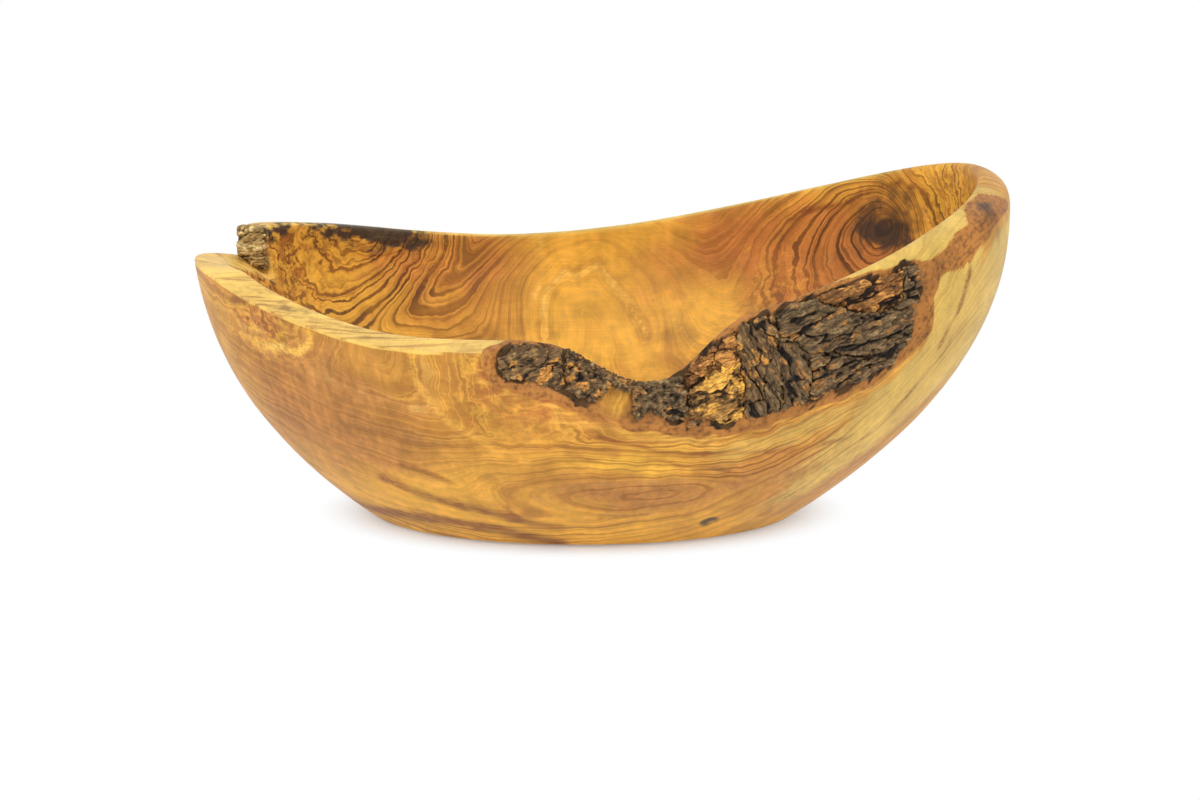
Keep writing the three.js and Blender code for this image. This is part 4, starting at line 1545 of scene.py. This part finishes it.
class BarkKind(Enum):
    """The kinds of bark along the brim."""

    LEVEL = BarkGrain((0, 18, -14), 8, 1.3, 3.8, 8, 1.3, 1.4, 0.5, 0.2, 4.0, 0.3)
    UPRIGHT = BarkGrain((0, -62, 0), 7, 1.3, 3.8, 8, 1.3, 1.4, 0.5, 0.2, 4.0, 0.3)
    CRUMBLY = BarkGrain((0, 0, 0), 3, 2.0, 2.2, 5, 0.8, 1.7, 1.8, 0.6, 3.0, 0.1)
    FLAKY = BarkGrain((0, 20, 0), 3.4, 1.4, 2.4, 6, 0.8, 1.9, 0.8, 1.1, 3.8, 0.2)
    BROKEN = BarkGrain((0, 0, 0), 12, 1.5, 3.0, 5, 0.8, 2.0, 0.3, 0.5, 0.6, 1.0)
    GROWN_IN = BarkGrain((0, 0, 0), 5, 2, 0.3, 6, 0.1, 2.0, 0.1, 0.05, 0.3)


class BarkLook(Enum):
    """The colours of the bark along the brim."""

    # Each look gives the painted fissure shade, the body, the painted highlight on raised fibres and the
    # flake colour.
    DARK = DryBark("olive_bark_dark", "1e160e", "6c5538", "9a7f56", "a8743c", 0.36)
    CRUMBLY = DryBark("olive_bark_crumbly", "261b11", "705535", "a0804f", "cc8e42", 0.37)
    OCHRE = DryBark("olive_bark_ochre", "3c2a14", "a0743b", "cc9d52", "eab04c", 0.68)
    RUSTY = DryBark("olive_bark_rusty", "2b1c0f", "85582b", "b57c3e", "cf9148", 0.5)
    BROKEN = DryBark("olive_bark_broken", "3a2812", "a58650", "d9bb7c", "e3c88a", 0.4)


@dataclass
class BarkPlate:
    """One plate of bark, cracked away from its neighbours."""

    node: str
    kind: BarkKind
    look: BarkLook | None
    slot: str = "dark_bark"
    voxel: float = 0.3

    def build(self) -> Piece:
        """Copies the CAD plate as an even fine mesh.

        Returns:
            The object, ready for its relief.
        """
        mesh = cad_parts[self.node].data.copy()
        mesh.materials.clear()
        loose = bmesh.new()
        loose.from_mesh(mesh)
        bmesh.ops.remove_doubles(loose, verts=loose.verts, dist=0.01 * MM)
        loose.to_mesh(mesh)
        loose.free()
        piece = bpy.data.objects.new(f"{self.node}_look", mesh)
        bpy.context.scene.collection.objects.link(piece)
        remesh = piece.modifiers.new("even", "REMESH")
        remesh.mode = "VOXEL"
        remesh.voxel_size = self.voxel * MM
        settle(piece)
        return piece

    def dress(self, piece: Piece, shaper: Shaper, material: bpy.types.Material) -> None:
        """Gives the plate its relief and finish, and puts it in the place of its CAD node.

        Args:
            piece: The plate.
            shaper: The tree that makes bark relief.
            material: The plate's finish.
        """
        shaper.run(piece, {**self.kind.value.inputs(), "Material": material})
        piece.data.shade_smooth()
        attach(piece, BODY)
        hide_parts(self.node)


PLATES = (
    BarkPlate("bark_left_patch", BarkKind.FLAKY, BarkLook.CRUMBLY),
    BarkPlate("bark_left_ridge", BarkKind.CRUMBLY, BarkLook.CRUMBLY),
    BarkPlate("bark_dip_ridge", BarkKind.CRUMBLY, BarkLook.DARK),
    BarkPlate("bark_hanging_tag", BarkKind.CRUMBLY, BarkLook.DARK),
    BarkPlate("bark_dip_shoulder", BarkKind.FLAKY, BarkLook.RUSTY),
    BarkPlate("bark_ochre_lower", BarkKind.FLAKY, BarkLook.OCHRE, "ochre_bark"),
    BarkPlate("bark_ochre_upper", BarkKind.FLAKY, BarkLook.RUSTY, "ochre_bark"),
    BarkPlate("bark_plate_upper_left", BarkKind.UPRIGHT, BarkLook.CRUMBLY),
    BarkPlate("bark_plate_lower_left", BarkKind.UPRIGHT, BarkLook.DARK),
    BarkPlate("bark_plate_middle", BarkKind.UPRIGHT, BarkLook.DARK),
    BarkPlate("bark_plate_lower_right", BarkKind.LEVEL, BarkLook.DARK),
    BarkPlate("bark_plate_large", BarkKind.LEVEL, BarkLook.DARK),
    BarkPlate("bark_plate_upper_right", BarkKind.LEVEL, BarkLook.RUSTY, "ochre_bark"),
    BarkPlate("bark_plate_end", BarkKind.LEVEL, BarkLook.DARK),
    BarkPlate("bark_step_face", BarkKind.BROKEN, BarkLook.BROKEN, "ochre_bark", 0.35),
    BarkPlate("bark_pocket", BarkKind.GROWN_IN, None, "dark_bark", 0.35),
)


@dataclass
class NaturalEdge:
    """All the bark on the bowl, with the crumbs that sit in it."""

    wood: bpy.types.Material
    figure: OliveFigure
    rough_from: float = -92
    rough_to: float = -79
    rough_steps: int = 60
    crumb_density: float = 0.35
    crumb_size: float = 0.7
    lip_density: float = 1.5
    lip_size: float = 0.8
    crumb_tilt: float = 1.2
    crumb_seed: int = 7

    def figure_burl(self, piece: Piece) -> None:
        """Lets the wood's rings and colours run on over the bark that grew in and is sanded with the wood.

        Args:
            piece: The bark that grew in.
        """
        points = np.array([v.co for v in piece.data.vertices]) / MM
        nothing = np.zeros(len(points))
        places = SkinPlaces(nothing, nothing, nothing, nothing + FAR, nothing, nothing)
        store_shares(piece, self.figure.shares(points, places))

    def rough_lip(self) -> Piece:
        """Lays a strip over the lip in the dip, where the bark has crumbled right up to the hollow.

        Returns:
            The strip, for crumbs to lie on.
        """
        angle = np.linspace(self.rough_from, self.rough_to, self.rough_steps)
        _, lip, inner = self.figure.form.brim_corners(angle)
        step = np.arange(self.rough_steps - 1)
        faces = np.stack([step, step + 1, step + 1 + self.rough_steps, step + self.rough_steps], axis=1)
        return make_piece("lip_crumbs", np.concatenate([lip, inner]), faces.tolist())

    def strew(self, piece: Piece, density: float, size: float, look: bpy.types.Material) -> None:
        """Strews crumbs over an object, which becomes the crumbs.

        Args:
            piece: What the crumbs lie on.
            density: How many there are to a square millimetre.
            size: Half of their greatest length in millimetres.
            look: Their finish.
        """
        crumb_scatter().run(piece, {
            "Density": density / MM ** 2,
            "Least": (0.3 * size * MM, 0.3 * size * MM, 0.25 * size * MM),
            "Most": (size * MM, 0.9 * size * MM, 0.7 * size * MM),
            "Tilt": self.crumb_tilt,
            "Seed": self.crumb_seed,
            "Material": look,
        })
        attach(piece, BODY)

    def build(self) -> list[Piece]:
        """Builds and dresses every plate and the crumbs.

        Returns:
            The pieces.
        """
        made = {look: look.value.make() for look in BarkLook}
        shaper = bark_relief()
        pieces = []
        crumbly = bmesh.new()
        for plate in PLATES:
            piece = plate.build()
            if plate.kind is BarkKind.GROWN_IN:
                self.figure_burl(piece)
            plate.dress(piece, shaper, made.get(plate.look, self.wood))
            if plate.kind is BarkKind.CRUMBLY:
                crumbly.from_mesh(piece.data)
            pieces.append(piece)
        bed = bpy.data.meshes.new("bark_crumbs")
        crumbly.to_mesh(bed)
        crumbly.free()
        crumbs = bpy.data.objects.new("bark_crumbs", bed)
        bpy.context.scene.collection.objects.link(crumbs)
        self.strew(crumbs, self.crumb_density, self.crumb_size, made[BarkLook.DARK])
        lip = self.rough_lip()
        self.strew(lip, self.lip_density, self.lip_size, made[BarkLook.DARK])
        return [*pieces, crumbs, lip]


@dataclass
class Studio:
    """A white table, soft daylight and the camera, with lengths in metres."""

    eye: Point = (0.00645, -0.8651, 0.28978)
    tilt_deg: float = 16
    lens_mm: float = 73.44
    sky: float = 0.8
    lamps: tuple[tuple[str, float, Point], ...] = (
        ("key", 9, (-0.55, -1.0, 1.25)),
        ("fill", 4, (0.9, 0.6, 1.3)),
        ("front", 5, (0.1, -1.4, 0.12)),
    )
    lamp_size: float = 1.3
    target: Point = (0, 0, 0.05)
    floor_radius: float = 4
    foot: Point = (0.077, 0.044, 1)
    shadow_from: float = 0.9
    shadow_to: float = 1.3
    shadow_share: float = 0.2
    grain_mm: float = 2.5

    def build(self) -> None:
        """Builds the camera, the lamps, the world and the floor."""
        scene = bpy.context.scene
        scene.view_settings.view_transform = "Standard"
        camera = bpy.data.objects.new("camera", bpy.data.cameras.new("camera"))
        camera.data.lens = self.lens_mm
        camera.location = self.eye
        camera.rotation_euler = (math.radians(90 - self.tilt_deg), 0, 0)
        scene.collection.objects.link(camera)
        scene.camera = camera
        for name, power, at in self.lamps:
            lamp = bpy.data.lights.new(name, "AREA")
            lamp.energy = power
            lamp.size = self.lamp_size
            holder = bpy.data.objects.new(name, lamp)
            holder.location = at
            holder.rotation_euler = (Vector(self.target) - Vector(at)).to_track_quat("-Z", "Y").to_euler()
            scene.collection.objects.link(holder)
        self.light_world()
        self.lay_floor()

    def seen(self, work: NodeWork) -> Socket:
        """Adds the test for rays that show the background: seen, mirrored or let through.

        Args:
            work: The tree that gets the test.

        Returns:
            1 for such a ray, and else 0.
        """
        path = work.add("ShaderNodeLightPath").outputs
        either = work.join(Do.MAXIMUM, path["Is Camera Ray"], path["Is Glossy Ray"])
        return work.join(Do.MAXIMUM, either, path["Is Transmission Ray"])

    def light_world(self) -> None:
        """Makes the soft even sky, which shows as white."""
        world = bpy.data.worlds.new("white_studio")
        bpy.context.scene.world = world
        world.use_nodes = True
        work = NodeWork(world.node_tree)
        light, shown = (
            work.add("ShaderNodeBackground", {"Color": WHITE, "Strength": strength}).outputs[0]
            for strength in (self.sky, 1.0)
        )
        both = work.add("ShaderNodeMixShader", {0: self.seen(work), 1: light, 2: shown}).outputs[0]
        work.add("ShaderNodeOutputWorld", {"Surface": both})

    def lay_floor(self) -> None:
        """Lays the white table, which keeps the bowl's shadow and runs out into white."""
        mesh = bpy.data.meshes.new("table_top")
        disc = bmesh.new()
        bmesh.ops.create_circle(disc, cap_ends=True, radius=self.floor_radius, segments=96)
        disc.to_mesh(mesh)
        disc.free()
        floor = bpy.data.objects.new("table_top", mesh)
        bpy.context.scene.collection.objects.link(floor)
        paint = Painter("white_table")
        far = paint.join(Do.LENGTH, paint.join(Do.SHRINK, paint.place, self.foot))
        out = paint.join(Do.SPREAD, far, self.shadow_from, self.shadow_to, self.shadow_share, 1.0)
        share = paint.join(Do.MULTIPLY, out, self.seen(paint))
        grain = paint.add("ShaderNodeTexNoise", {"Vector": paint.place, "Scale": 1 / (self.grain_mm * MM)})
        shade = paint.add("ShaderNodeMapRange", {0: grain.outputs[0], 3: 0.93, 4: 0.96}).outputs[0]
        grey = paint.add("ShaderNodeCombineColor", {0: shade, 1: shade, 2: shade}).outputs[0]
        matte = paint.add("ShaderNodeBsdfDiffuse", {"Color": grey}).outputs[0]
        white = paint.add("ShaderNodeEmission", {"Color": WHITE, "Strength": 1.0}).outputs[0]
        both = paint.add("ShaderNodeMixShader", {0: share, 1: matte, 2: white}).outputs[0]
        paint.add("ShaderNodeOutputMaterial", {"Surface": both})
        mesh.materials.append(paint.material)


def main() -> None:
    """Builds the bowl and its bark, lights them and notes their size."""
    logging.basicConfig(level=logging.INFO, format="%(name)s: %(message)s")
    Studio().build()
    form = CarvedForm()
    figure = OliveFigure(form)
    finish = OiledOlive().make()
    beds = tuple(plate.node for plate in PLATES if plate.kind not in (BarkKind.BROKEN, BarkKind.GROWN_IN))
    shell = BowlShell(form, figure, beds)
    body = shell.build()
    shell.dress(body, finish)
    for piece in [body, *NaturalEdge(finish, figure).build()]:
        log.info("%s has %d faces", piece.name, len(piece.data.polygons))


if __name__ == "__main__":
    main()
